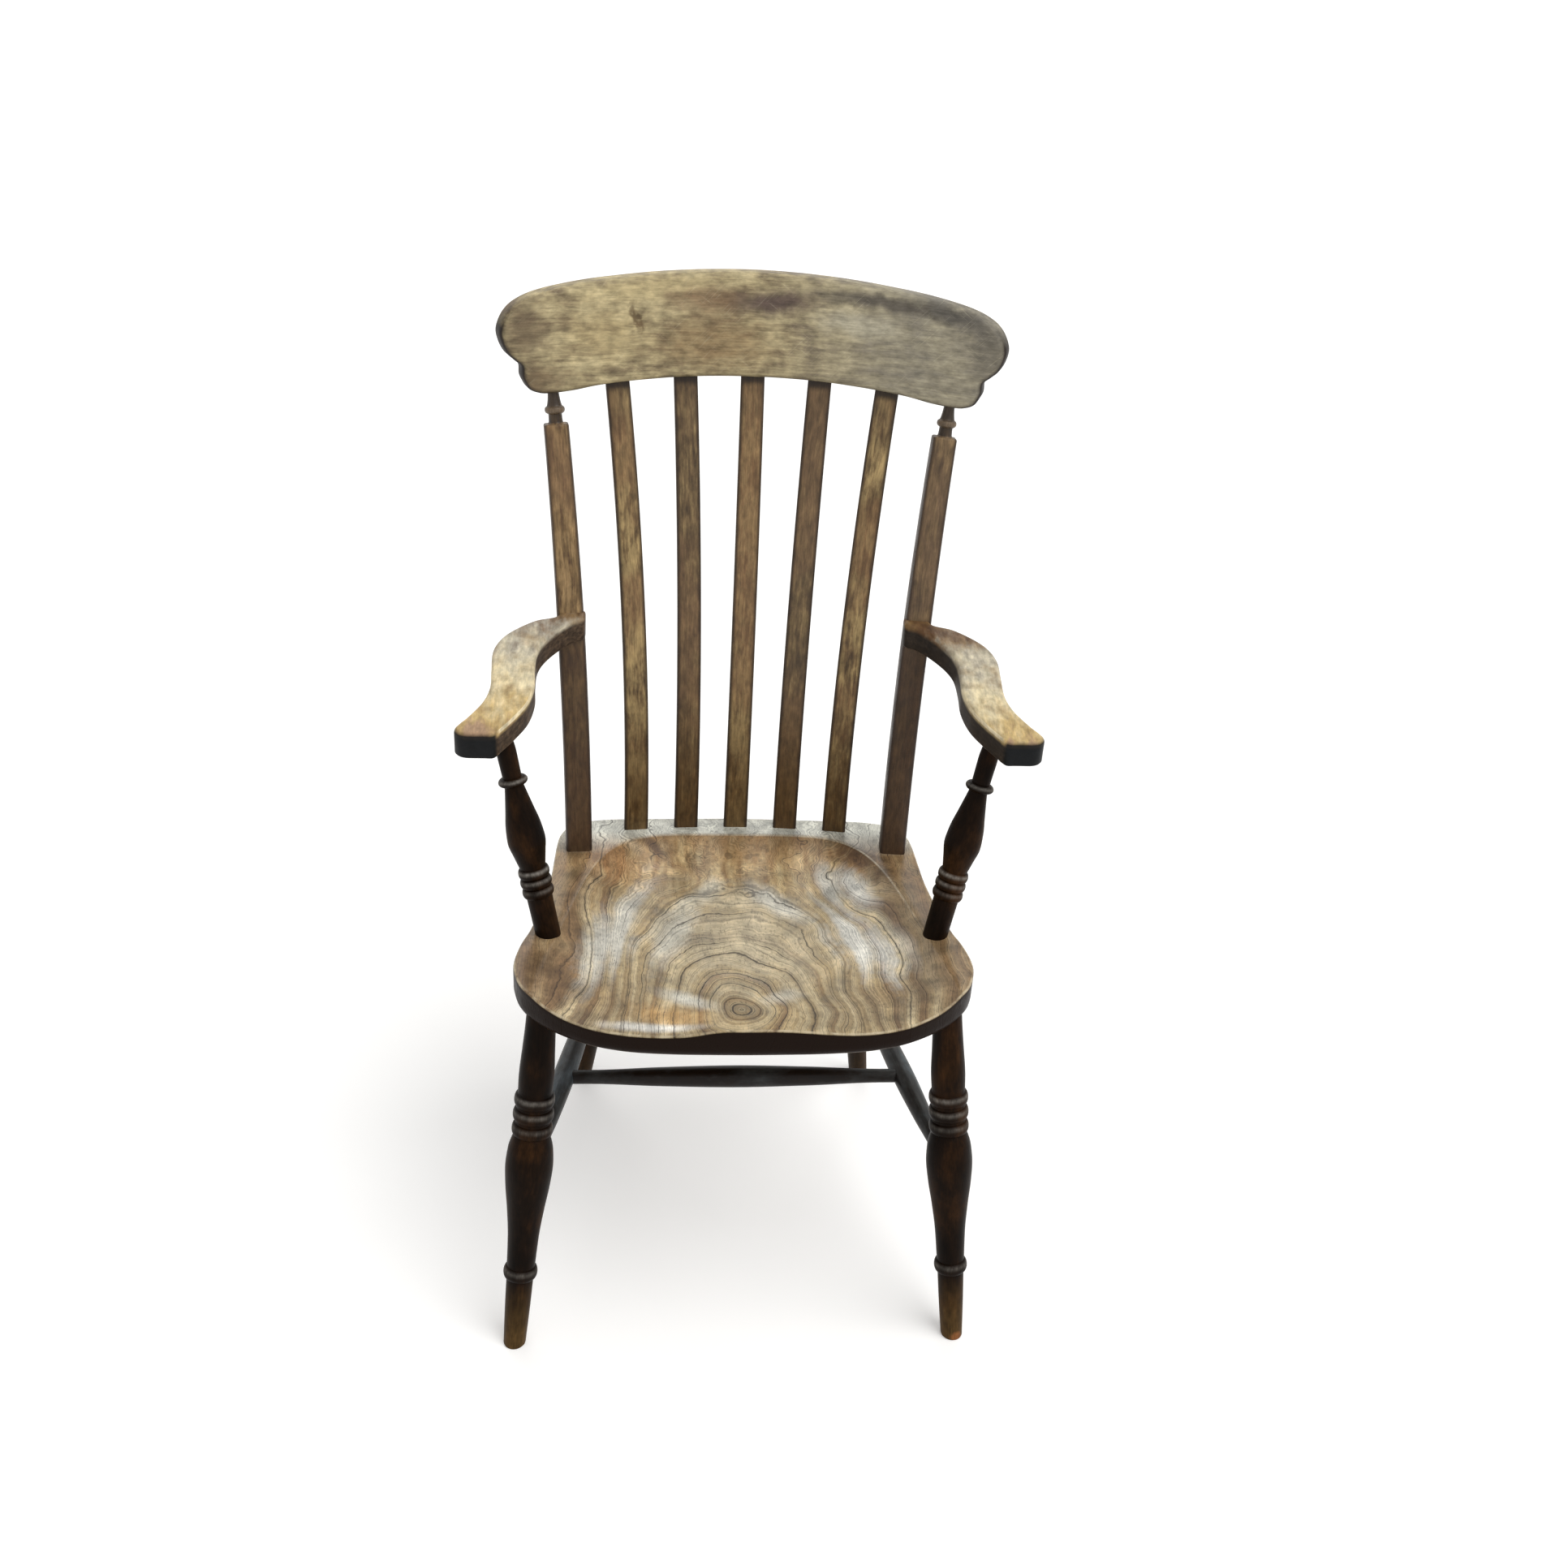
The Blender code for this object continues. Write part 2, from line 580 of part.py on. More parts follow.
def arm_support(name, side, look):
    lean = Vector((side * slope(SUPPORT_SPLAY), slope(SUPPORT_RAKE), 1.0))
    foot = Vector((side * (HALF_WIDTH - SUPPORT_INSET_X), SEAT_FRONT + SUPPORT_SET_Y, SEAT_HEIGHT))
    under = arm_top(foot.y) - ARM_THICKNESS / math.cos(math.radians(ARM_SLOPE)) - SEAT_HEIGHT
    rise = under / (1.0 - slope(SUPPORT_RAKE) * slope(ARM_SLOPE))
    head = foot + lean * rise
    length = (head - foot).length
    stub, arm_socket = tenon(length, SUPPORT_HEAD, SUPPORT_ARM_TENON)
    root, seat_socket = tenon(0.0, SUPPORT_FOOT, SUPPORT_SEAT_TENON)
    profile = [(-at, width) for at, width in reversed(root)]
    profile += [(at * length, width * SUPPORT_FULL) for at, width in SUPPORT_PROFILE] + stub
    made = spun(name, profile, foot, head, 16, look)
    down = [(-at, width) for at, width in reversed(seat_socket)]
    cut(seat, spun(name + "_foot_socket", down, foot, head, 16))
    return made, spun(name + "_head_socket", arm_socket, foot, head, 16)


def arm_screw(name, side, stile_made, arm_made, look):
    point, _, wide, front = arm_joint(side)
    entry = point + wide * (side * SCREW_OFFSET) - front * STILE_THICKNESS
    tip = STILE_THICKNESS + SCREW_REACH
    flare = (SCREW_HEAD - SCREW_DIAMETER) / 2

    def rows(grow):
        start = -flare if grow else 0.0
        return [
            (start, SCREW_HEAD + 2 * grow), (SCREW_RIM + grow, SCREW_HEAD + 2 * grow),
            (SCREW_RIM + grow + flare, SCREW_DIAMETER + 2 * grow),
            (tip - 2 * SCREW_DIAMETER, SCREW_DIAMETER + 2 * grow),
            (tip + grow, 0.3 * SCREW_DIAMETER + 2 * grow),
        ]

    made = spun(name, rows(0.0), entry, entry + front, 16, look)
    bore = spun(name + "_bore", rows(GLUE_LINE), entry, entry + front, 16)
    cut(stile_made, bore)
    cut(arm_made, bore)
    return made


def crest_peg(name, side, stile_made, look):
    point, up, _, front = frame_at(lambda at: stile_front(side, at), 1.0, STILE_FACING)
    axis = point - front * (STILE_THICKNESS / 2)
    seated = (crest_under(axis.x) - axis.z + PEG_RISE) / up.z
    centre = axis + up * seated
    back_y = crest_front_y(centre.x, centre.z) + CREST_THICKNESS
    entry = centre - front * ((back_y - centre.y) / -front.y)
    inner = [(-PEG_PROUD, PEG_DIAMETER), (PEG_LENGTH, PEG_DIAMETER)]
    wide = PEG_DIAMETER + 2 * GLUE_LINE
    outer = [(-PEG_DIAMETER, wide), (PEG_LENGTH + GLUE_LINE, wide)]
    made = spun(name, inner, entry, entry + front, 12, look)
    bore = spun(name + "_bore", outer, entry, entry + front, 12)
    cut(stile_made, bore)
    cut(crest, bore)
    return made


def centre_depth():
    # Stands the chair so that the middle of its depth is over the origin
    bpy.context.view_layer.update()
    graph = bpy.context.evaluated_depsgraph_get()
    spans = []
    for made in chair.children:
        if made.hide_render:
            continue
        ready = made.evaluated_get(graph)
        spans += [(ready.matrix_world @ vert.co).y for vert in ready.data.vertices]
    chair.location.y = -(min(spans) + max(spans)) / 2


clear_scene()
chair = bpy.data.objects.new("chair", None)
bpy.context.scene.collection.objects.link(chair)

# The shoulders of the stiles sit where the underside of the crest leaves room for their turning
STILE_RISE = crest_under(HALF_WIDTH - STILE_INSET_X + slope(STILE_SPLAY) * BACK_HEIGHT)
STILE_RISE -= SEAT_HEIGHT + STILE_TURNING
# The tip of the arms is set from where the raking supports meet their sloping undersides
ARM_TIP = SEAT_FRONT + SUPPORT_SET_Y
ARM_TIP += slope(SUPPORT_RAKE) * (ARM_HEIGHT - ARM_THICKNESS / math.cos(math.radians(ARM_SLOPE)))
ARM_TIP -= ARM_OVERHANG * (1.0 - slope(SUPPORT_RAKE) * slope(ARM_SLOPE))

seat = seat_piece()
crest = crest_piece()

dark_turning = ((0.030, 0.018, 0.011), 0.40)
dark_rail = ((0.035, 0.024, 0.018), 0.42)
back_wood = ((0.155, 0.085, 0.038), 0.48)
stile_wood = ((0.130, 0.065, 0.030), 0.48)
arm_wood = ((0.420, 0.270, 0.130), 0.50)
iron = ((0.180, 0.165, 0.150), 0.55, 0.85)

for index in range(LATH_COUNT):
    lath(f"lath_{index + 1}", index - (LATH_COUNT - 1) / 2, back_wood)

front_place = (
    FRONT_LEG_PROFILE, FRONT_LEG_FULL, FRONT_LEG_TOP, FRONT_LEG_INSET_X,
    SEAT_FRONT + FRONT_LEG_INSET_Y, FRONT_LEG_SPLAY, -slope(FRONT_LEG_RAKE), 18,
)
rear_place = (
    REAR_LEG_PROFILE, REAR_LEG_FULL, REAR_LEG_TOP, REAR_LEG_INSET_X,
    SEAT_BACK - REAR_LEG_INSET_Y, REAR_LEG_SPLAY, slope(REAR_LEG_RAKE), 16,
)
crossing = []
for label, side in (("left", -1.0), ("right", 1.0)):
    front, foot, top = leg(f"front_leg_{label}", side, front_place, dark_turning)
    rear, rear_foot, rear_top = leg(f"rear_leg_{label}", side, rear_place, dark_turning)
    start = on_leg(foot, top, STRETCHER_HEIGHT)
    end = on_leg(rear_foot, rear_top, STRETCHER_HEIGHT)
    rail = stretcher(
        f"side_stretcher_{label}", start, end, (front, rear), (STRETCHER_STOP, STRETCHER_REAR_STOP),
        CROSS_PLACE, dark_rail,
    )
    crossing.append((start + (end - start) * CROSS_PLACE, rail))

    post = stile(f"stile_{label}", side, stile_wood)
    rest = arm_board(f"arm_{label}", side, 0.0, arm_wood)
    cut(post, arm_board(f"arm_{label}_housing", side, GLUE_LINE))
    support, head_socket = arm_support(f"arm_support_{label}", side, dark_turning)
    cut(rest, head_socket)
    arm_screw(f"arm_screw_{label}", side, post, rest, iron)
    crest_peg(f"crest_peg_{label}", side, post, stile_wood)

gap = STRETCHER_SWELL / 2 - CROSS_TENON
stretcher(
    "cross_stretcher", crossing[0][0], crossing[1][0], [rail for _, rail in crossing], (gap, gap),
    0.5, dark_rail,
)
centre_depth()
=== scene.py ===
# A lath-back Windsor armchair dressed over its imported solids: turned, sawn and saddled wood with
# old stain, wax and wear. Metres in the solids' own frame, the sitter facing -Y.
import math
from functools import partial

import bpy
import numpy as np
from mathutils import Matrix, Vector


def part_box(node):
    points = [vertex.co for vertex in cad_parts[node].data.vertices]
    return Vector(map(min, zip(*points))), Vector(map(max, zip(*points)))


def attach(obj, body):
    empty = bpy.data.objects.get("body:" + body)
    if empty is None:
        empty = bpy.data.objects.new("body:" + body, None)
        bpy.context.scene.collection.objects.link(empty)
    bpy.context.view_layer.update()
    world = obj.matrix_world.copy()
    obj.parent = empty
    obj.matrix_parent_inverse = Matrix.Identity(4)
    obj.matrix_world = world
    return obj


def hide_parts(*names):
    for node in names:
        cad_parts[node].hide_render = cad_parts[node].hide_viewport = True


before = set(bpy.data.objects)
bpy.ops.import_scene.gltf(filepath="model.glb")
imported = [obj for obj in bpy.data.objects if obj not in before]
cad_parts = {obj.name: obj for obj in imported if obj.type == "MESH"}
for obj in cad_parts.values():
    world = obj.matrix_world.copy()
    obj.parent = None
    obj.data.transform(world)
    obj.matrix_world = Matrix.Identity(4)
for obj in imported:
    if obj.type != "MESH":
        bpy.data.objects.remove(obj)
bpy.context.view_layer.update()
seatLow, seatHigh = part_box("seat")
midDepth = (seatLow.y + seatHigh.y) / 2  # middle of the seat, from which depths are set out
sides = (("left", -1.0), ("right", 1.0))
mm = 0.001
print("frame:", len(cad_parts), "solids")


# Node help

def colour(tone):
    parts = [int(tone[k:k + 2], 16) / 255 for k in (1, 3, 5)]
    linear = [c / 12.92 if c <= 0.04045 else ((c + 0.055) / 1.055) ** 2.4 for c in parts]
    return (*linear, 1.0)


def setSockets(node, sockets):
    # a tuple fills the sockets in their order, a dictionary by name or number
    for key, value in sockets.items() if isinstance(sockets, dict) else enumerate(sockets):
        if isinstance(value, bpy.types.NodeSocket):
            node.id_data.links.new(value, node.inputs[key])
        else:
            node.inputs[key].default_value = value


def addNode(tree, kind, sockets=(), out=0, stops=(), **settings):
    made = tree.nodes.new("ShaderNode" + kind)
    for key, value in settings.items():
        setattr(made, key, value)
    setSockets(made, sockets)
    if stops:
        ramp = made.color_ramp
        while len(ramp.elements) < len(stops):
            ramp.elements.new(1.0)
        for stop, (at, tone) in zip(ramp.elements, stops):
            stop.position = at
            stop.color = colour(tone)
    return made.outputs[out]


# settings that many nodes share
blend = {"out": 2, "data_type": "RGBA"}
soft = {"interpolation_type": "SMOOTHSTEP"}
single = {"noise_dimensions": "1D"}
times, plus, timesPlus = ({"operation": kind} for kind in ("MULTIPLY", "ADD", "MULTIPLY_ADD"))
noiseSpan = (0.3, 0.7)  # where nearly all of a noise lies
mottleSpan = (0.68, 1.29)  # how far a wood's small mottle darkens and lightens it
wander = {"size": 110 * mm, "reach": 0.012}  # of the grain, off its straight run


def startFinish(name, gloss):
    material = bpy.data.materials.new(name)
    material.use_nodes = True
    shader = material.node_tree.nodes["Principled BSDF"]
    setSockets(shader, {"IOR": 1.5, "Specular IOR Level": gloss})
    return material, partial(addNode, material.node_tree), shader


# Bench: the few ways of making that the pieces share

def pickUp(made=None, mode="OBJECT"):
    # clears the bench and takes up one piece, so that operators act on it alone
    if bpy.context.object and bpy.context.object.mode != "OBJECT":
        bpy.ops.object.mode_set(mode="OBJECT")
    bpy.ops.object.select_all(action="DESELECT")
    if made:
        made.select_set(True)
        bpy.context.view_layer.objects.active = made
        bpy.ops.object.mode_set(mode=mode)


def startDisc(name, corners, radius=1.0):
    # a filled disc, from which a piece is drawn out
    pickUp()
    bpy.ops.mesh.primitive_circle_add(vertices=corners, radius=radius, fill_type="NGON")
    made = bpy.context.object
    made.name = made.data.name = name
    return made


def drawOut(rise):
    bpy.ops.mesh.extrude_region_move(TRANSFORM_OT_translate={"value": (0, 0, rise)})


def turnOutward():
    bpy.ops.mesh.select_all(action="SELECT")
    bpy.ops.mesh.normals_make_consistent(inside=False)
    bpy.ops.object.mode_set(mode="OBJECT")


def tangent(degrees):
    return math.tan(math.radians(degrees))


def halved(low, high, within):
    # the share at which a test stops holding
    for _ in range(40):
        share = (low + high) / 2
        low, high = (share, high) if within(share) else (low, share)
    return low


def flow(keys, steps=5):
    # rows of a smooth line through (height, width) keys that never swings past a key
    if len(keys) < 3:
        return list(keys)
    rises = [(b[1] - a[1]) / (b[0] - a[0]) for a, b in zip(keys, keys[1:])]
    leans = [rises[0]]
    for before, after in zip(rises, rises[1:]):
        leans.append(0.0 if before * after <= 0 else 2 * before * after / (before + after))
    leans.append(rises[-1])
    rows = []
    for k, (a, b) in enumerate(zip(keys, keys[1:])):
        span = b[0] - a[0]
        for step in range(steps):
            t = step / steps
            rows.append((
                a[0] + span * t,
                (2 * t**3 - 3 * t**2 + 1) * a[1] + (t**3 - 2 * t**2 + t) * span * leans[k]
                + (3 * t**2 - 2 * t**3) * b[1] + (t**3 - t**2) * span * leans[k + 1],
            ))
    return rows + [keys[-1]]


def rounded(points, steps, closed=True):
    # a smooth outline through the points
    count = len(points)
    line = []
    for k in range(count if closed else count - 1):
        at = [k - 1, k, k + 1, k + 2]
        at = [i % count for i in at] if closed else [min(max(i, 0), count - 1) for i in at]
        a, b, c, d = (Vector(points[i]) for i in at)
        for step in range(steps):
            t = step / steps
            line.append((
                b * 2 + (c - a) * t + (a * 2 - b * 5 + c * 4 - d) * t * t
                + (b * 3 - a - c * 3 + d) * t**3
            ) / 2)
    return line if closed else line + [Vector(points[-1])]


def bothHalves(half, steps):
    # a closed outline from its right half, which starts and ends on the middle line
    return rounded(half + [(-x, y) for x, y in reversed(half[1:-1])], steps)


ringRows = 12  # rows of points up each ring
glintTurn, glintNarrow = 0.5, 14  # how far above a ring's middle its painted highlight lies, and how narrow it is


def turnedRows(line, length, full):
    # rows of height, diameter and painted highlight; a ring in the line is a half round
    rows, run = [], []
    for key in line:
        if key[0] != "ring":
            run.append((key[0] * length, key[1] * full))
            continue
        rows += [(at, width, 0.0) for at, width in flow(run)]
        run = []
        low, high, wide, glint = key[1] * length, key[2] * length, key[3] * full, key[4]
        groove = rows[-1][1]
        for step in range(1, ringRows):
            swing = math.pi * step / ringRows
            at = (low + high) / 2 - (high - low) / 2 * math.cos(swing)
            crown = max(math.sin(swing - glintTurn), 0.0) ** glintNarrow
            rows.append((at, groove + (wide - groove) * math.sin(swing), glint * crown))
        rows.append((high, groove, 0.0))
    return rows + [(at, width, 0.0) for at, width in flow(run)]


def turnOnLathe(name, rows, facets=56):
    made = startDisc(name, facets, rows[0][1] / 2)
    bpy.ops.object.mode_set(mode="EDIT")
    bpy.ops.transform.translate(value=(0, 0, rows[0][0]))
    for low, high in zip(rows, rows[1:]):
        drawOut(high[0] - low[0])
        grow = high[1] / low[1]
        bpy.ops.transform.resize(value=(grow, grow, 1), center_override=(0, 0, 0))
    turnOutward()
    if len(rows[0]) > 2:
        # each ring's painted highlight, kept on the points as proud
        heights = np.array([row[0] for row in rows])
        proud = made.data.attributes.new("proud", "FLOAT", "POINT")
        for vert in made.data.vertices:
            proud.data[vert.index].value = rows[int(np.abs(heights - vert.co.z).argmin())][2]
    return made


def sawBoard(name, outline, thick):
    # an outline in the XY plane sawn from a board that hangs below it
    made = startDisc(name, len(outline))
    for vert, point in zip(made.data.vertices, outline):
        vert.co = (point[0], point[1], 0.0)
    bpy.ops.object.mode_set(mode="EDIT")
    drawOut(-thick)
    turnOutward()
    return made


def planeStick(name, width, depth, low, high):
    # a squared stick standing on end, its front face towards -Y
    pickUp()
    bpy.ops.mesh.primitive_cube_add(size=1.0)
    made = bpy.context.object
    made.name = made.data.name = name
    bpy.ops.object.mode_set(mode="EDIT")
    bpy.ops.transform.resize(value=(width, depth, high - low))
    bpy.ops.transform.translate(value=(0, 0, (high + low) / 2))
    bpy.ops.object.mode_set(mode="OBJECT")
    return made


def easeEdges(made, test, offset, segments):
    # rounds or chamfers the edges whose two ends pass the test
    pickUp(made, "EDIT")
    bpy.ops.mesh.select_mode(type="EDGE")
    bpy.ops.mesh.select_all(action="DESELECT")
    bpy.ops.object.mode_set(mode="OBJECT")
    verts = made.data.vertices
    for edge in made.data.edges:
        edge.select = test(*(verts[k].co for k in edge.vertices))
    bpy.ops.object.mode_set(mode="EDIT")
    bpy.ops.mesh.bevel(offset=offset, segments=segments, profile=0.5, affect="EDGES")
    bpy.ops.object.mode_set(mode="OBJECT")


def upright(a, b):
    return abs(a.x - b.x) + abs(a.y - b.y) < 1e-6


def scoreAcross(made, way, places):
    # cuts loops through a piece at distances along one axis, so that it can take a bend
    pickUp(made, "EDIT")
    for place in places:
        bpy.ops.mesh.select_all(action="SELECT")
        bpy.ops.mesh.bisect(plane_co=Vector(way) * place, plane_no=way)
    bpy.ops.object.mode_set(mode="OBJECT")


def sawOff(made, point, outward, ease):
    # takes off what lies beyond a plane, closes the end and eases its edge
    pickUp(made, "EDIT")
    bpy.ops.mesh.select_mode(type="EDGE")
    bpy.ops.mesh.select_all(action="SELECT")
    bpy.ops.mesh.bisect(plane_co=point, plane_no=outward, use_fill=True, clear_outer=True)
    if ease:
        bpy.ops.mesh.bevel(offset=ease, segments=2, affect="EDGES")
    bpy.ops.object.mode_set(mode="OBJECT")


def throwAway(made):
    bpy.data.objects.remove(made, do_unlink=True)


def combine(made, other, operation):
    # joins another shape to a piece, or cuts it out of the piece
    step = made.modifiers.new("combine", "BOOLEAN")
    step.operation = operation
    step.solver = "EXACT"
    step.object = other
    pickUp(made)
    bpy.ops.object.modifier_apply(modifier=step.name)
    throwAway(other)


def markGrain(made, order, shift):
    # keeps each point's place in the straight blank, so that the figure runs with the piece;
    # order puts the length of the blank last, and shift takes another part of the tree
    flat = np.empty(len(made.data.vertices) * 3, np.float32)
    made.data.vertices.foreach_get("co", flat)
    places = flat.reshape(-1, 3)[:, order] + np.float32(shift)
    grain = made.data.attributes.new("grain", "FLOAT_VECTOR", "POINT")
    grain.data.foreach_set("vector", places.ravel())


def markTone(made, value):
    # how far this copy differs in tone from the others of its kind; on the right arm and the cross
    # rail it is painted shade
    own = made.data.attributes.new("tone", "FLOAT", "POINT")
    own.data.foreach_set("value", [value] * len(made.data.vertices))


def bendBy(made, place):
    for vert in made.data.vertices:
        vert.co = place(*vert.co)
    made.data.update()


def layAlong(made, base, tip):
    # stands a blank's foot on base with its axis towards tip
    pickUp(made)
    made.location = base
    made.rotation_euler = (tip - base).to_track_quat("Z", "Y").to_euler()
    bpy.ops.object.transform_apply(location=True, rotation=True, scale=True)


def turnPair(label, cut, ends, facets=56):
    # one turning copied to both sides, where ends gives the two ends of its axis
    foot, tip = ends(1.0)
    rows = turnedRows(cut["line"], (tip - foot).length, cut["full"])
    blank = turnOnLathe(label + "Blank", rows, facets)
    made = {}
    for k, (name, side) in enumerate(sides):
        pickUp(blank)
        bpy.ops.object.duplicate(linked=False)
        copy = made[name] = bpy.context.object
        copy.name = copy.data.name = label + name.capitalize()
        markGrain(copy, (0, 1, 2), [start + step * k for start, step in cut["grain"]])
        layAlong(copy, *ends(side))
        if "footEase" in cut:
            sawOff(copy, (0, 0, 0), (0, 0, -1), cut["footEase"])
    throwAway(blank)
    return made


smoothAngle = 38  # degrees


def dress(made, node, material):
    pickUp(made)
    bpy.ops.object.shade_smooth_by_angle(angle=math.radians(smoothAngle))
    made.data.materials.clear()
    made.data.materials.append(material)
    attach(made, "root")
    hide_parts(node)


# Camera and light

view = {
    "place": (-0.1271, -1.64538, 1.5667), "yaw": 0.1145, "pitch": -0.5001, "roll": 0.0711,
    "focal": 2037.5, "axis": (990.98, 909.10), "image": 1932,  # pixels of the picture
}


def setCamera():
    bpy.ops.object.camera_add()
    camera = bpy.context.object
    camera.name = "photoView"
    camera.matrix_world = (
        Matrix.Translation(view["place"]) @ Matrix.Rotation(-view["yaw"], 4, "Z")
        @ Matrix.Rotation(math.pi / 2 + view["pitch"], 4, "X") @ Matrix.Rotation(view["roll"], 4, "Z")
    )
    lens = camera.data
    lens.sensor_width = 36.0
    lens.lens = lens.sensor_width * view["focal"] / view["image"]
    lens.shift_x = (view["image"] / 2 - view["axis"][0]) / view["image"]
    lens.shift_y = (view["axis"][1] - view["image"] / 2) / view["image"]
    lens.clip_end = 200.0
    bpy.context.scene.camera = camera


studio = {
    "suns": (  # name, strength, softness in degrees, direction that the light travels
        ("overheadSun", 1.70, 50.0, (-0.55, 0.28, -1.0)),
        ("windowSun", 0.60, 45.0, (0.10, -1.0, -0.95)),
    ),
    "sky": 0.50, "backdrop": "#ffffff", "floor": "#f6f5f3", "floorSize": 80.0,
    "paleFloor": 0.22,  # how much of the backdrop's white lies over the floor
}


def seenDirect(add):
    # 1 for what the eye looks at, also in a gloss or through glass
    rays = add("LightPath").node.outputs
    seen = rays["Is Camera Ray"]
    for ray in ("Is Glossy Ray", "Is Transmission Ray"):
        seen = add("Math", (seen, rays[ray]), operation="MAXIMUM")
    return seen


def setStudio():
    for name, strength, softness, way in studio["suns"]:
        bpy.ops.object.light_add(type="SUN")
        sun = bpy.context.object
        sun.name = name
        sun.data.energy = strength
        sun.data.angle = math.radians(softness)
        sun.rotation_euler = Vector(way).to_track_quat("-Z", "Y").to_euler()
    white = colour(studio["backdrop"])
    world = bpy.data.worlds.new("studio")
    bpy.context.scene.world = world
    world.use_nodes = True
    add = partial(addNode, world.node_tree)
    strength = add("MapRange", (seenDirect(add), 0.0, 1.0, studio["sky"], 1.0))
    setSockets(world.node_tree.nodes["Background"], {"Color": white, "Strength": strength})
    pickUp()
    bpy.ops.mesh.primitive_plane_add(size=studio["floorSize"])
    floor = bpy.context.object
    floor.name = "studioFloor"
    paper, add, shader = startFinish("matt paper floor", 0.0)
    setSockets(shader, {
        "Base Color": colour(studio["floor"]), "Roughness": 0.95, "Emission Color": white,
        "Emission Strength": add("Math", (seenDirect(add), studio["paleFloor"]), **times),
    })
    floor.data.materials.append(paper)
    bpy.context.scene.view_settings.view_transform = "Standard"


# What the finishes share

def layShade(add, tone, shade, *masks, **ramp):
    # lays a shade over the tone where all the masks meet; a mask given as a tuple of a value, where
    # its ramp starts and ends, and the depths there, is ramped first
    masks = [add("MapRange", mask, **ramp) if isinstance(mask, tuple) else mask for mask in masks]
    depth = masks.pop()
    for mask in masks:
        depth = add("Math", (depth, mask), **times)
    shade = colour(shade) if isinstance(shade, str) else shade
    return add("Mix", {0: depth, 6: tone, 7: shade}, **blend)


def stretched(add, place, sizes, detail, rough=0.5):
    # noise drawn out to another size along each axis, in mm
    place = add("Mapping", {"Vector": place, "Scale": [1 / (size * mm) for size in sizes]})
    return add("TexNoise", {"Vector": place, "Scale": 1.0, "Detail": detail, "Roughness": rough})


def spotAt(add, place, middle, turn, size):
    # distance from the middle of an oval spot, 1 on its rim
    near = add("Mapping", {
        "Vector": place, "Location": middle, "Rotation": turn, "Scale": size,
    }, vector_type="TEXTURE")
    return add("VectorMath", (near,), out="Value", operation="LENGTH")


def woodFigure(add, streak, cloud):
    # streaks and fibres along the blank, broad clouds of wear and a small mottle; sizes in mm
    place = add("Attribute", out="Vector", attribute_name="grain")
    reach = wander["reach"]
    sway = add("TexNoise", {"Vector": place, "Scale": 1 / wander["size"], "Detail": 2.0}, out="Color")
    sway = add("VectorMath", (sway, (reach, reach, 0.0), place), **timesPlus)
    wood = {"place": place, "own": add("Attribute", out="Fac", attribute_name="tone")}
    for name, source, across, along, detail in (
        ("streaks", sway, *streak, 5.0),
        ("fibres", sway, 1.6, 30.0, 3.0),  # finer in the wood, drawn as wide as a pixel shows
        ("clouds", place, cloud, cloud * 1.9, 4.0),
        ("mottle", place, 7.0, 16.0, 3.0),
    ):
        wood[name] = stretched(add, source, (across, across, along), detail, 0.6)
    split = add("SeparateXYZ", (place,)).node.outputs
    for axis in "XYZ":
        wood[axis.lower()] = split[axis]
    return wood


def endFinish(add, shader, tone, wood, rough, depth, comb=0.24):
    # lays the colour, the polish and the raised fibre on the shader
    mottled = add("MapRange", (wood["mottle"], *noiseSpan, *mottleSpan))
    combed = add("MapRange", (wood["fibres"], *noiseSpan, 1 - comb, 1 + comb))
    grey = add("Math", (mottled, combed), **times)
    height = add("Math", (wood["fibres"], wood["mottle"]), **plus)
    setSockets(shader, {
        "Base Color": add("VectorMath", {0: tone, 3: grey}, operation="SCALE"),
        "Roughness": add("MapRange", (wood["clouds"], *noiseSpan, *rough)),
        "Normal": add("Bump", {"Strength": 0.5, "Distance": depth, "Height": height}),
    })


# Seat

plank = {
    "rim": 0.437, "thick": 0.040, "wide": 0.523, "deep": 0.435, "facets": 256,
    "underRound": 0.012, "underFlat": 0.62, "arris": 0.003,
    "hollow": 0.014, "hollowMid": 0.414,  # how deep, and its middle as a share of the depth
    "hollowReach": (0.506, 0.490),  # from there to the front and to the back
    "hollowSide": (0.788, 0.23),  # its half width, and how fast it draws in towards the back
    "pommel": 0.0098, "pommelSides": (0.040, 0.075, 0.022),  # fall to left and right, flat half
    "outline": (  # half of it, as shares of the half width and of the depth from the front
        (0.0, 0.0), (0.153, 0.001), (0.306, 0.0034), (0.459, 0.0103), (0.574, 0.023),
        (0.688, 0.046), (0.803, 0.085), (0.899, 0.132), (0.964, 0.184), (0.996, 0.246),
        (1.0, 0.287), (0.990, 0.331), (0.973, 0.375), (0.946, 0.425), (0.910, 0.529),
        (0.880, 0.657), (0.870, 0.759), (0.862, 0.851), (0.845, 0.908), (0.792, 0.956),
        (0.650, 0.985), (0.402, 0.993), (0.210, 0.997), (0.0, 1.0),
    ),
    "rows": (  # rings of the hollow, from its ridge to its middle
        1.0, 0.99, 0.98, 0.965, 0.95, 0.93, 0.905, 0.88, 0.85, 0.82, 0.785, 0.75, 0.71, 0.67,
        0.625, 0.58, 0.53, 0.48, 0.43, 0.38, 0.33, 0.28, 0.23, 0.18, 0.13, 0.08, 0.035,
    ),
}
halfWidth = plank["wide"] / 2
seatFront, seatBack = midDepth - plank["deep"] / 2, midDepth + plank["deep"] / 2
saddleMid = seatFront + plank["hollowMid"] * plank["deep"]
seatUnder = plank["rim"] - plank["thick"]


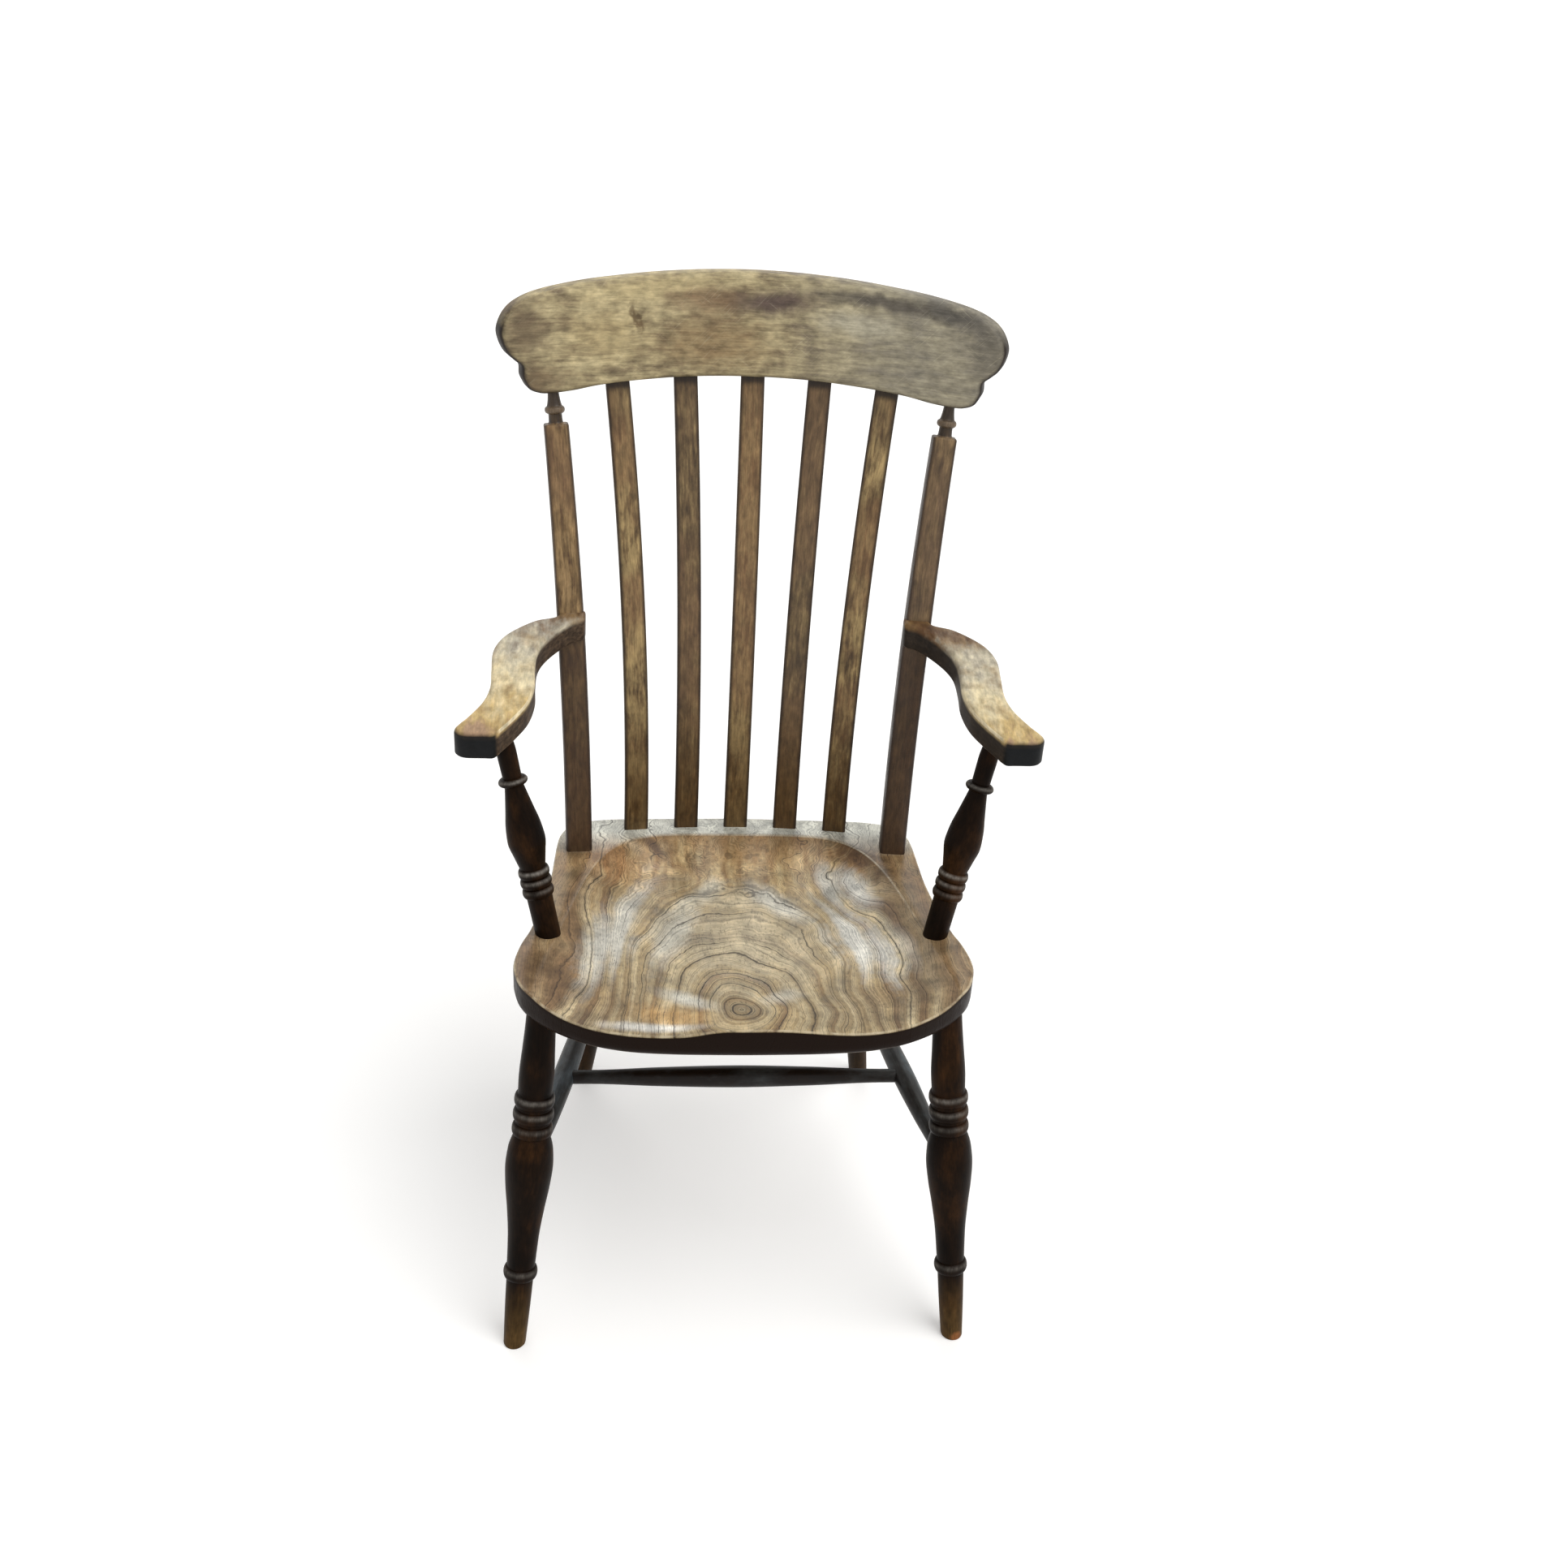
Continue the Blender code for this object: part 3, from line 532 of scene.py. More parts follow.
def saddleRing(x, y):
    # 0 in the middle of the hollow and 1 on the horseshoe ridge
    reach = plank["hollowReach"][y > saddleMid] * plank["deep"]
    wide, drawIn = plank["hollowSide"]
    side = wide * halfWidth - drawIn * (y - midDepth)
    return (abs(x / side) ** 5 + abs((y - saddleMid) / reach) ** 5) ** 0.2


def saddleDrop(x, y):
    ring = saddleRing(x, y)
    if ring >= 1.0:
        return 0.0
    ahead = min(max((saddleMid - y) / (saddleMid - seatFront), 0.0), 1.0)
    left, right, flat = plank["pommelSides"]
    off = min(x + flat, 0.0) / left + max(x - flat, 0.0) / right
    pommel = plank["pommel"] * math.exp(-off * off) * ahead * ahead
    return max(plank["hollow"] * (1.0 - ring**6) - pommel, 0.0)


def evenly(points, count):
    # the closed outline again, with its points at equal steps
    loop = np.array([tuple(p) for p in points] + [tuple(points[0])])
    run = np.concatenate([[0.0], np.cumsum(np.linalg.norm(np.diff(loop, axis=0), axis=1))])
    at = np.linspace(0.0, run[-1], count, endpoint=False)
    return [Vector((np.interp(s, run, loop[:, 0]), np.interp(s, run, loop[:, 1]))) for s in at]


def carveSeat():
    half = [(x * halfWidth, seatFront + y * plank["deep"]) for x, y in plank["outline"]]
    edge = evenly(bothHalves(half, 6), plank["facets"])
    count = len(edge)
    middle = Vector((0.0, saddleMid))
    inward, ridges = [], []  # the way in from each point, and how far out the ridge stands there
    for k, point in enumerate(edge):
        along = (edge[(k + 1) % count] - edge[k - 1]).normalized()
        inward.append(Vector((-along.y, along.x)))
        out = point - middle
        ridges.append(halved(0.3, 0.985, lambda share: saddleRing(*(middle + out * share)) < 1.0))

    under, turn, arris = seatUnder, plank["underRound"], plank["arris"]
    tops = [plank["rim"] - saddleDrop(*p) for p in edge]
    rings = []  # from under the seat up its edge and over to the middle of its top
    for inset in (plank["underFlat"], 0.0):
        rings.append([(*(p + (middle - p) * inset + n * turn), under) for p, n in zip(edge, inward)])
    for swing in (18, 36, 54, 72, 90):
        angle = math.radians(swing)
        inset, up = turn * (1 - math.sin(angle)), turn * (1 - math.cos(angle))
        rings.append([(*(p + n * inset), under + up) for p, n in zip(edge, inward)])
    for share in (0.25, 0.5, 0.75):
        rings.append([
            (*p, under + turn + (top - arris - under - turn) * share) for p, top in zip(edge, tops)
        ])
    sideCount = len(rings)
    for swing in (0, 30, 60):
        angle = math.radians(swing)
        rings.append([
            (*(p + n * arris * (1 - math.cos(angle))), top - arris * (1 - math.sin(angle)))
            for p, n, top in zip(edge, inward, tops)
        ])
    lip = [1.0 - arris / (point - middle).length for point in edge]
    shares = [[a + (b - a) * t for a, b in zip(lip, ridges)] for t in (0.0, 0.34, 0.67)]
    shares += [[share * ridge for ridge in ridges] for share in plank["rows"]]
    for ring in shares:
        spots = [middle + (point - middle) * share for point, share in zip(edge, ring)]
        rings.append([(*spot, plank["rim"] - saddleDrop(*spot)) for spot in spots])

    made = startDisc("saddledSeat", count)
    bpy.ops.object.mode_set(mode="EDIT")
    for _ in rings[1:]:  # a tall drum, one loop for each ring of the seat
        drawOut(1.0)
    bpy.ops.object.mode_set(mode="OBJECT")
    start = math.atan2(made.data.vertices[0].co.y, made.data.vertices[0].co.x)
    marks = ("onTop", "arris", "saddle")
    for name in marks:
        made.data.attributes.new(name, "FLOAT", "POINT")
    onTop, rubbed, saddle = (made.data.attributes[name].data for name in marks)
    for vert in made.data.vertices:
        turned = (start - math.atan2(vert.co.y, vert.co.x)) / (2 * math.pi) * count
        level = round(vert.co.z)
        vert.co = rings[level][round(turned) % count]
        onTop[vert.index].value = float(level > sideCount)
        rubbed[vert.index].value = float(sideCount < level < sideCount + 3)
        saddle[vert.index].value = saddleRing(vert.co.x, vert.co.y)
    bpy.ops.object.mode_set(mode="EDIT")
    turnOutward()
    return made


elm = {
    "heart": (-0.010, -0.201),  # middle of the rings that the pommel cuts
    "rings": 17.7, "ovals": (1.5, 110.0), "drift": 0.030, "lineWide": (0.54, 0.20),
    "behind": (0.215, 0.10),  # from how far back the arches stretch, and by what share
    "knots": (  # middle, half widths, and how many layers each stands through
        (0.140, 0.050, 0.075, 0.095, 2.0), (-0.079, 0.084, 0.05, 0.06, 0.7),
        (-0.175, -0.11, 0.06, 0.15, 1.4),
    ),
    # brown patina and pale painted sheen, each laid as an oval spot
    "patinaAndSheen": (  # tone, middle, turn, half length, half width, how deep
        ("#c9bc9f", 0.010, -0.060, -1.57, 0.120, 0.105, 0.65),
        ("#9a6c42", -0.150, 0.085, -1.1, 0.060, 0.034, 0.5),
        ("#ab8252", 0.020, 0.125, 0.0, 0.140, 0.040, 0.4),
        ("#5d4531", -0.105, 0.130, -0.98, 0.036, 0.009, 0.8),
        ("#5c432d", 0.154, 0.102, -0.9, 0.050, 0.028, 0.9),
        ("#6d5236", -0.226, -0.140, -0.9, 0.080, 0.045, 0.75),
        ("#7d6442", 0.165, -0.160, 0.5, 0.040, 0.024, 0.6),
        ("#7a674d", 0.195, -0.150, 0.9, 0.090, 0.035, 0.6),
        ("#806745", -0.165, -0.170, -0.7, 0.050, 0.030, 0.5),
        ("#d3d0c4", -0.150, -0.055, -1.84, 0.105, 0.026, 0.9),
        ("#d0ccbd", -0.080, -0.048, -1.88, 0.075, 0.020, 0.85),
        ("#cdc6b0", -0.034, 0.046, -2.10, 0.034, 0.014, 0.75),
        ("#d6d2c4", 0.046, 0.014, -1.03, 0.048, 0.017, 0.9),
        ("#d4d1c5", 0.112, 0.050, -1.47, 0.052, 0.014, 0.9),
        ("#dad8ce", 0.143, 0.044, -1.14, 0.048, 0.018, 0.95),
        ("#e0ded4", 0.137, -0.066, -1.18, 0.074, 0.030, 0.9),
        ("#c6bfae", 0.186, -0.080, -1.35, 0.050, 0.012, 0.6),
        ("#dcd8c9", -0.071, -0.177, -0.51, 0.038, 0.012, 0.95),
        ("#cfc9b8", 0.040, -0.178, 0.32, 0.026, 0.012, 0.7),
        ("#b98f52", -0.090, -0.204, -0.30, 0.046, 0.020, 0.7),
        ("#eeeae0", -0.108, -0.224, -0.10, 0.052, 0.008, 0.95),
        ("#cdb184", -0.080, 0.081, -1.1, 0.012, 0.006, 0.95),
        ("#bba688", -0.130, 0.126, -0.9, 0.022, 0.012, 0.6),
    ),
    "fray": 0.035,
    "bands": ((0.32, "#7b6141"), (0.48, "#a38e68"), (0.66, "#c4b28d")),
    "streaks": ((0.34, "#86653f"), (0.5, "#b19569"), (0.66, "#cfb88b")),
    "line": "#201711", "ridge": "#cfc3a8", "outer": "#84694a", "deck": "#c9c8bb",
    "edge": "#190d06", "arris": "#c9ba9c", "under": "#6a5338",
    "gloss": 0.06, "rough": (0.30, 0.48), "wax": 0.5, "waxRough": 0.28,
}


def waxedElm(look):
    # Elm plank, sawn flat and scooped: the saddle cuts the layers of growth into rings and arches,
    # each with a dark line of pores, under wax that is lost on the rim and polished in the hollows,
    # where painted sheen lies; a painted highlight runs along the ridge and painted shade on the edge
    material, add, shader = startFinish("waxed elm", look["gloss"])
    saddle, onTop, arris = (
        add("Attribute", out="Fac", attribute_name=name) for name in ("saddle", "onTop", "arris")
    )
    place = add("TexCoord", out="Object")
    split = add("SeparateXYZ", (place,)).node.outputs
    sway = look["drift"]
    drift = add("TexNoise", {"Vector": place, "Scale": 1 / (120 * mm), "Detail": 1.5}, out="Color")
    swayed = add("VectorMath", (drift, (sway, sway, 0.0), place), **timesPlus)
    fade, blotch, broad = (  # sizes in mm
        add("TexNoise", {"Vector": at, "Scale": 1 / (size * mm), "Detail": detail, "Roughness": rough})
        for at, size, detail, rough in (
            (place, 58, 2.0, 0.5), (place, 16, 4.0, 0.6), (swayed, 34, 3.0, 0.6),
        )
    )

    def moved(x, y):
        return (x + sway / 2, y + sway / 2, 0.0)

    # ovals about the heart that stretch into arches as they run back and swell round the knots
    centred = add("VectorMath", (swayed, moved(*look["heart"])), operation="SUBTRACT")
    flat = add("SeparateXYZ", (centred,)).node.outputs
    start, share = look["behind"]
    near = add("Math", (flat["Y"], start), operation="MINIMUM")
    past = add("Math", (flat["Y"], near), operation="SUBTRACT")
    along = add("Math", (past, share, near), **timesPlus)
    across = add("Math", (flat["X"], 2.0), operation="POWER")
    least, narrowing = look["ovals"]
    narrow = add("Math", (across, narrowing, least), **timesPlus)
    across = add("Math", (across, narrow), **times)
    oval = add("Math", (along, along, across), **timesPlus)
    layer = add("Math", (oval, 0.25), operation="POWER")
    layer = add("Math", (layer, look["rings"]), **times)
    for x, y, wide, deep, lift in look["knots"]:
        far = spotAt(add, swayed, moved(x, y), (0.0, 0.0, 0.0), (wide, deep, 1e3))
        layer = add("Math", (layer, add("MapRange", (far, 0.0, 1.0, lift, 0.0), **soft)), **plus)
    wavy = add("MapRange", (past, 0.0, 0.05, 0.0, 1.1))
    for size, lift in ((62.0, 1.0), (7.0, 0.12), (24.0, wavy)):  # in mm and in layers
        wobble = add("TexNoise", {"Vector": place, "Scale": 1 / (size * mm), "Detail": 1.0})
        layer = add("Math", (wobble, lift, layer), **timesPlus)

    # a dark line where each layer ends, and finer ones between
    lines = 0.0
    for often, weight in ((1.0, 1.0), (1.9, 0.62)):  # lines to a layer, and how bold they are
        count = add("Math", (layer, often, 0.3), **timesPlus)
        uneven = add("TexNoise", {"W": count, "Scale": 0.8, "Detail": 0.0}, **single)
        count = add("Math", (uneven, 0.9, count), **timesPlus)
        phase = add("Math", (count,), operation="FRACT")
        phase = add("Math", (phase, layer), **times)
        bold = add("TexWhiteNoise", {"W": add("Math", (count,), operation="FLOOR")}, **single)
        bold = add("MapRange", (bold, 0.0, 1.0, 0.55 * weight, weight))
        line = add("Math", (add("MapRange", (phase, *look["lineWide"])), bold), **times)
        lines = add("Math", (lines, line), operation="MAXIMUM")
    lines = add("Math", (lines, add("MapRange", (fade, 0.36, 0.52, 0.45, 1.0))), **times)

    # bands of the layers, combed into streaks towards the back
    bands, ragged, fine = (
        add("TexNoise", {"W": layer, "Scale": often, "Detail": detail}, **single)
        for often, detail in ((1.1, 3.0), (1.4, 1.0), (15.0, 2.0))
    )
    tone = add("ValToRGB", (bands,), stops=look["bands"])
    combed = add("ValToRGB", (stretched(add, swayed, (9, 70, 9), 3.0),), stops=look["streaks"])
    tone = layShade(add, tone, combed, (past, 0.0, 0.06, 0.0, 0.75))
    tone = layShade(add, tone, look["outer"], (saddle, 0.80, 1.02, 0.0, 0.7), **soft)

    # patina that runs with the figure: brown where wax has gathered, and pale painted sheen where the
    # hollows catch the light
    ragged = add("Math", (ragged, blotch), **plus)
    ragged = add("MapRange", (ragged, 0.7, 1.3, -0.40, 0.40))
    for shade, x, y, turn, long, wide, depth in look["patinaAndSheen"]:
        far = spotAt(add, swayed, moved(x, y), (0.0, 0.0, turn), (long, wide, 1e3))
        frayed = min(1.0, wide / look["fray"])  # a narrow gleam keeps a smooth edge
        far = add("Math", (ragged, frayed, far), **timesPlus)
        tone = layShade(add, tone, shade, (far, 1.42, 0.15, 0.0, depth), **soft)
    tone = layShade(add, tone, look["deck"], (saddle, 0.99, 1.02), (split["Y"], 0.10, 0.155))
    # a pale line along the horseshoe ridge, partly wear and partly painted highlight, strongest towards
    # the back and on the right
    back, right = (split["Y"], -0.07, 0.05, 0.0, 0.9), (split["X"], -0.1, 0.1, 0.3, 1.0)
    ridge = add("Math", (saddle, 1.0, 0.006), operation="COMPARE")
    tone = layShade(add, tone, look["ridge"], back, right, ridge, blotch)
    mottle = add("Math", (fine, blotch), **plus)
    mottle = add("MapRange", (mottle, 0.7, 1.3, 0.63, 1.35))
    broad = add("MapRange", (broad, 0.34, 0.66, 0.70, 1.22))
    mottle = add("Math", (mottle, broad), **times)
    tone = add("VectorMath", {0: tone, 3: mottle}, operation="SCALE")

    # pores, the worn arris, and the black edge, which is stain and painted shade
    tone = layShade(add, tone, look["line"], lines)
    pores = stretched(add, swayed, (1.8, 6, 6), 3.0)
    tone = layShade(add, tone, look["line"], (pores, 0.54, 0.74, 0.0, 0.5))
    tone = layShade(add, tone, look["arris"], arris, (blotch, 0.38, 0.6, 0.0, 0.8))
    above = (split["Z"], seatUnder + 0.001, seatUnder + 0.006)
    side = layShade(add, colour(look["under"]), look["edge"], above)
    height = add("Math", (lines, -1.0, pores), **timesPlus)
    setSockets(shader, {
        "Base Color": layShade(add, side, tone, onTop),
        "Roughness": add("MapRange", (blotch, *noiseSpan, *look["rough"])),
        "Coat Weight": add("Math", (onTop, look["wax"]), **times), "Coat Roughness": look["waxRough"],
        "Normal": add("Bump", {"Strength": 0.5, "Distance": 0.5 * mm, "Height": height}),
    })
    return material


# Crest rail

backRise = 0.571  # from the seat's rim to the underside of the crest
crest = {
    "base": plank["rim"] + backRise, "wide": 0.5905, "tall": 0.1140, "thick": 0.024, "ease": 0.007,
    "radius": 0.90, "lean": 14.0, "shortFront": 1.3,
    "outline": (  # half of it, from the top middle round the lobe to the underside
        (0.0, 1.0), (0.172, 0.991), (0.309, 0.973), (0.419, 0.952), (0.543, 0.920),
        (0.670, 0.882), (0.790, 0.829), (0.865, 0.782), (0.915, 0.731), (0.955, 0.665),
        (0.984, 0.570), (1.0, 0.447), (0.992, 0.336), (0.973, 0.242), (0.944, 0.173),
        (0.918, 0.112), (0.915, 0.019), (0.905, -0.041), (0.888, -0.105), (0.859, -0.140),
        (0.816, -0.154), (0.721, -0.135), (0.628, -0.095), (0.524, -0.064), (0.419, -0.041),
        (0.290, -0.018), (0.155, -0.005), (0.0, 0.0),
    ),
}


def crestUnder(x):
    # height of the crest's underside
    share = abs(x) / (crest["wide"] / 2)
    low = [key for key in crest["outline"] if key[1] < 0.001 and key[0] < 0.89][::-1]
    return crest["base"] + crest["tall"] * float(np.interp(share, *zip(*low)))


crestLook = {
    "body": ((0.22, "#776850"), (0.48, "#a29370"), (0.78, "#c6b68d")), "grey": "#8f8b7e",
    "scratch": "#d2c8aa", "edge": "#1f150d", "back": "#6f5a3e",
    "streak": (4.5, 60.0), "cloud": 22.0, "warp": (0.024, 0.0, 0.06),
    "stains": (  # tone, middle along and up, turn, half length, half height, depth of the stain
        ("#cbb98b", -0.120, 0.096, 0.12, 0.110, 0.018, 0.7),
        ("#c0ac7e", -0.175, 0.045, 0.0, 0.060, 0.035, 0.5),
        ("#7a6148", -0.052, 0.082, 0.0, 0.066, 0.022, 0.8),
        ("#8a7250", -0.045, 0.036, 0.0, 0.095, 0.036, 0.7),
        ("#594a43", 0.022, 0.083, 0.06, 0.066, 0.018, 0.95),
        ("#58452e", -0.141, 0.062, 0.1, 0.006, 0.021, 0.8),
        ("#544e47", 0.160, 0.090, -0.07, 0.120, 0.010, 0.85),
        ("#57534d", 0.232, 0.086, -0.35, 0.060, 0.014, 0.85),
        ("#bdb6a0", 0.120, 0.064, -0.1, 0.060, 0.018, 0.65),
        ("#655542", -0.270, 0.050, 0.2, 0.036, 0.040, 0.75),
        ("#6a5842", -0.255, -0.003, 0.1, 0.044, 0.022, 0.8),
        ("#625d55", 0.275, 0.055, 0.0, 0.034, 0.050, 0.7),
    ),
    "scratches": ((0.75, 0.70), (-0.6, 0.72)),  # turn, and how far the noise has to rise
}


def rubbedCrest(look):
    # Flat-sawn ash with the stain rubbed off by backs and hands: dry olive gold, greyer to one end,
    # dark stains left near the top, pale scratches across the grain and painted shade on the lobes'
    # lower edges
    material, add, shader = startFinish("rubbed ash", 0.25)
    wood = woodFigure(add, look["streak"], look["cloud"])
    place = wood["place"]
    level = add("Mix", {0: 0.34, 2: wood["clouds"], 3: wood["streaks"]})
    tone = add("ValToRGB", (add("MapRange", (level, 0.31, 0.69)),), stops=look["body"])
    tone = layShade(add, tone, look["grey"], (wood["z"], -0.02, 0.2, 0.0, 0.7), **soft)
    warp = add("TexNoise", {
        "Vector": place, "Scale": 1 / (32 * mm), "Detail": 4.0, "Roughness": 0.6,
    }, out="Color")
    loose = add("VectorMath", (warp, look["warp"], place), **timesPlus)
    for shade, x, rise, turn, long, tall, depth in look["stains"]:
        middle = (rise + look["warp"][0] / 2, 0.0, x + look["warp"][2] / 2)
        far = spotAt(add, loose, middle, (0.0, turn, 0.0), (tall, 1e3, long))
        tone = layShade(add, tone, shade, (far, 1.15, 0.2, 0.0, depth), **soft)
    handled = add("TexNoise", {"Vector": place, "Scale": 1 / (95 * mm), "Detail": 1.0})
    handled = add("MapRange", (handled, 0.42, 0.56))
    for turn, rise in look["scratches"]:
        slant = add("Mapping", {
            "Vector": place, "Rotation": (0.0, turn, 0.0), "Scale": (1.3 * mm, 1e3, 42 * mm),
        }, vector_type="TEXTURE")
        marks = add("TexNoise", {"Vector": slant, "Scale": 1.0, "Detail": 2.0})
        tone = layShade(add, tone, look["scratch"], handled, (marks, rise - 0.08, rise, 0.0, 0.24))
    half = crest["thick"] / 2
    tone = layShade(add, tone, look["back"], (wood["y"], -half, -2 * half, 0.0, 0.7), **soft)
    # painted shade on the rounded front edge low on the lobes, towards the ends, where it turns from
    # the light
    deep = add("Math", (add("Math", (wood["y"], half), **plus),), operation="ABSOLUTE")
    ends = add("Math", (wood["z"],), operation="ABSOLUTE")
    turned, lower = (deep, half - 0.0002, half - 0.0028), (wood["x"], 0.075, 0.055)
    tone = layShade(add, tone, look["edge"], turned, lower, (ends, 0.20, 0.25, 0.4, 1.0))
    endFinish(add, shader, tone, wood, (0.45, 0.62), 0.4 * mm, 0.16)
    return material


post = {
    "wide": 0.032, "thick": 0.026, "chamfer": 0.004, "backChamfer": 0.002, "insetX": 0.0644,
    "insetY": 0.0843, "taper": 0.11, "taperFrom": 0.55, "splay": 3.07, "rake": 9.7, "bowIn": 0.005,
    "bowForward": 0.004, "facing": 2.6, "shoulder": 0.0026, "mortise": 0.024, "bead": 0.026,
    "turning": 0.034, "pin": 0.015, "pinLong": 0.030,
    "top": (  # shares of the turning's height and of the bead's diameter
        (-0.12, 0.83), (0.0, 0.827), (0.059, 0.712), (0.310, 0.673), (0.345, 0.80), (0.385, 0.94),
        (0.450, 1.0), (0.520, 0.97), (0.565, 0.86), (0.590, 0.76), (0.700, 0.67), (0.850, 0.60),
        (1.0, 0.555),
    ),
}
postRise = crestUnder(
    halfWidth - post["insetX"] + tangent(post["splay"]) * backRise
) - plank["rim"] - post["turning"]


def postFront(side, share):
    # point on the front face of a stile, 0 at the seat and 1 at the shoulder
    bow = 4.0 * share * (1.0 - share)
    rise = postRise * share
    return Vector((
        side * (halfWidth - post["insetX"] + tangent(post["splay"]) * rise - post["bowIn"] * bow),
        seatBack - post["insetY"] + tangent(post["rake"]) * rise - post["bowForward"] * bow,
        plank["rim"] + rise,
    ))


def frameAt(path, share, radius):
    # a point on a path with the ways up, across and to the front there
    point = path(share)
    up = (path(share + 1e-3) - path(share - 1e-3)).normalized()
    wide = Vector((1.0, -point.x / radius, 0.0))
    wide = (wide - up * wide.dot(up)).normalized()
    return point, up, wide, wide.cross(up)


def postFrame(side, share):
    return frameAt(partial(postFront, side), share, post["facing"])


def crestFront(x, z):
    top = postFront(1.0, 1.0)
    lean = (z - top.z) * tangent(crest["lean"])
    return top.y + lean + (top.x**2 - x * x) / (2 * crest["radius"])


def sawCrest():
    half = [(x * crest["wide"] / 2, y * crest["tall"]) for x, y in crest["outline"]]
    made = sawBoard("crestBoard", bothHalves(half, 5), crest["thick"])
    easeEdges(made, lambda a, b: abs(a.z - b.z) < 1e-6, crest["ease"], 5)
    scoreAcross(made, (1, 0, 0), [k * crest["wide"] / 48 for k in range(-23, 24)])
    markGrain(made, (1, 2, 0), (0.0, 0.0, 0.0))
    bendBy(made, lambda x, rise, depth: (  # the ends are square to the bend, so the front is shorter
        x * (1.0 - crest["shortFront"] * (crest["thick"] + depth) / crest["radius"]),
        crestFront(x, crest["base"] + rise) - depth, crest["base"] + rise,
    ))
    return made


# Stiles

def planeStile(side, name, shift, tone):
    turn, middle = post["shoulder"], post["thick"] / 2
    made = planeStick(name, post["wide"], post["thick"], -post["mortise"], postRise - turn)
    bendBy(made, lambda x, y, z: (x, y + middle, z))
    for front, ease in ((True, post["chamfer"]), (False, post["backChamfer"])):
        easeEdges(made, lambda a, b: upright(a, b) and (a.y < middle) == front, ease, 2)
    for face in made.data.polygons:
        face.select = face.center.z > postRise - turn - 1e-6
    pickUp(made, "EDIT")
    bpy.ops.mesh.select_mode(type="FACE")
    wide, thick, height = post["wide"], post["thick"], 0.0
    for swing in (22.5, 45.0, 67.5, 90.0):  # the shoulder rounds over to its flat top
        angle = math.radians(swing)
        inset = 2.0 * turn * (1.0 - math.cos(angle))
        up = turn * math.sin(angle) - height
        shrink = ((post["wide"] - inset) / wide, (post["thick"] - inset) / thick, 1.0)
        drawOut(up)
        bpy.ops.transform.resize(value=shrink, center_override=(0, middle, 0))
        wide, thick, height = post["wide"] - inset, post["thick"] - inset, height + up
    scoreAcross(made, (0, 0, 1), [postRise * k / 32 for k in range(32)])
    rows = flow([(at * post["turning"], size * post["bead"]) for at, size in post["top"]])
    rows.append((post["turning"] + post["pinLong"], post["pin"]))
    finial = turnOnLathe(name + "Turning", rows, 40)
    bendBy(finial, lambda x, y, z: (x, y + middle, z + postRise))
    combine(made, finial, "UNION")
    markGrain(made, (0, 1, 2), shift)
    markTone(made, tone)

    def place(x, y, z):
        share = min(max(z / postRise, 0.0), 1.0)
        point, up, wide, front = postFrame(side, share)
        slim = max(share - post["taperFrom"], 0.0) / (1.0 - post["taperFrom"])
        across = wide * x * (1.0 - post["taper"] * slim)
        return point + across - front * y + up * (z - share * postRise)

    bendBy(made, place)
    return made


stileLook = {
    "body": ((0.28, "#4b3523"), (0.48, "#78603f"), (0.68, "#9c8059")), "edge": "#2f2017",
    "rosy": "#7a5e43", "dim": "#6a5843", "halfWidth": 0.016, "streak": (4.0, 45.0), "cloud": 20.0,
    "shades": (  # from a height to a height, tone, how deep
        # darker below the arm; above the shoulder, painted shade in the neck, a painted highlight on
        # the bead and painted shade on the top
        (0.31, 0.25, "#3c2817", 0.8), (postRise, postRise + 0.002, "#2a2018", 0.85),
        (postRise + 0.010, postRise + 0.014, "#705f4c", 0.9),
        (postRise + 0.017, postRise + 0.022, "#2f241b", 0.85),
    ),
    "tones": (0.02, -0.045),
}


def stainedBeech(name, look):
    # Planed beech under an old brown stain: blotched and streaked along, here olive and there rosy,
    # darker along the edges, towards the foot and over the laths' tops, with a painted shadow on the
    # laths under the crest and painted shade and highlight on the stiles' turned tops
    material, add, shader = startFinish(name, 0.3)
    wood = woodFigure(add, look["streak"], look["cloud"])
    level = add("Math", (wood["streaks"], wood["clouds"]), **plus)
    level = add("Math", (level, 0.5, wood["own"]), **timesPlus)
    tone = add("ValToRGB", (add("MapRange", (level, 0.28, 0.72)),), stops=look["body"])
    broad = add("TexNoise", {"Vector": wood["place"], "Scale": 1 / (140 * mm), "Detail": 2.0})
    tone = layShade(add, tone, look["rosy"], (broad, 0.46, 0.58, 0.0, 0.6), **soft)
    tone = layShade(add, tone, look["dim"], (wood["own"], 0.0, -0.05, 0.0, 0.6))
    for start, end, shade, depth in look["shades"]:
        tone = layShade(add, tone, shade, (wood["z"], start, end, 0.0, depth), **soft)
    half = look["halfWidth"]
    off = add("Math", (wood["x"],), operation="ABSOLUTE")
    tone = layShade(add, tone, look["edge"], (off, 0.64 * half, 0.92 * half, 0.0, 0.85), **soft)
    endFinish(add, shader, tone, wood, (0.36, 0.55), 0.4 * mm)
    return material


# Laths

lathCut = {
    "count": 5, "wide": 0.030, "thick": 0.009, "arris": 0.0022, "spacing": 0.0637, "spread": 0.0785,
    "taper": 0.08, "insetY": 0.0228, "rowRadius": 0.95, "bow": 0.016, "bowIn": 0.25,
    "mortise": 0.018,
}
lathLook = {
    "body": ((0.26, "#47351f"), (0.48, "#786241"), (0.70, "#a48c60")), "edge": "#291b11",
    "rosy": "#795a3d", "dim": "#65543f", "halfWidth": 0.015, "streak": (4.0, 32.0), "cloud": 16.0,
    "shades": (  # heights as if every lath met the crest at backRise
        # darker towards the foot and over the top, and a painted shadow in the last few mm under the
        # crest
        (0.23, 0.04, "#523a1b", 0.75), (0.47, 0.55, "#5a4631", 0.45), (0.557, 0.566, "#1c120b", 0.9),
    ),
    "tones": (0.06, -0.03, 0.06, -0.04, 0.02),
}


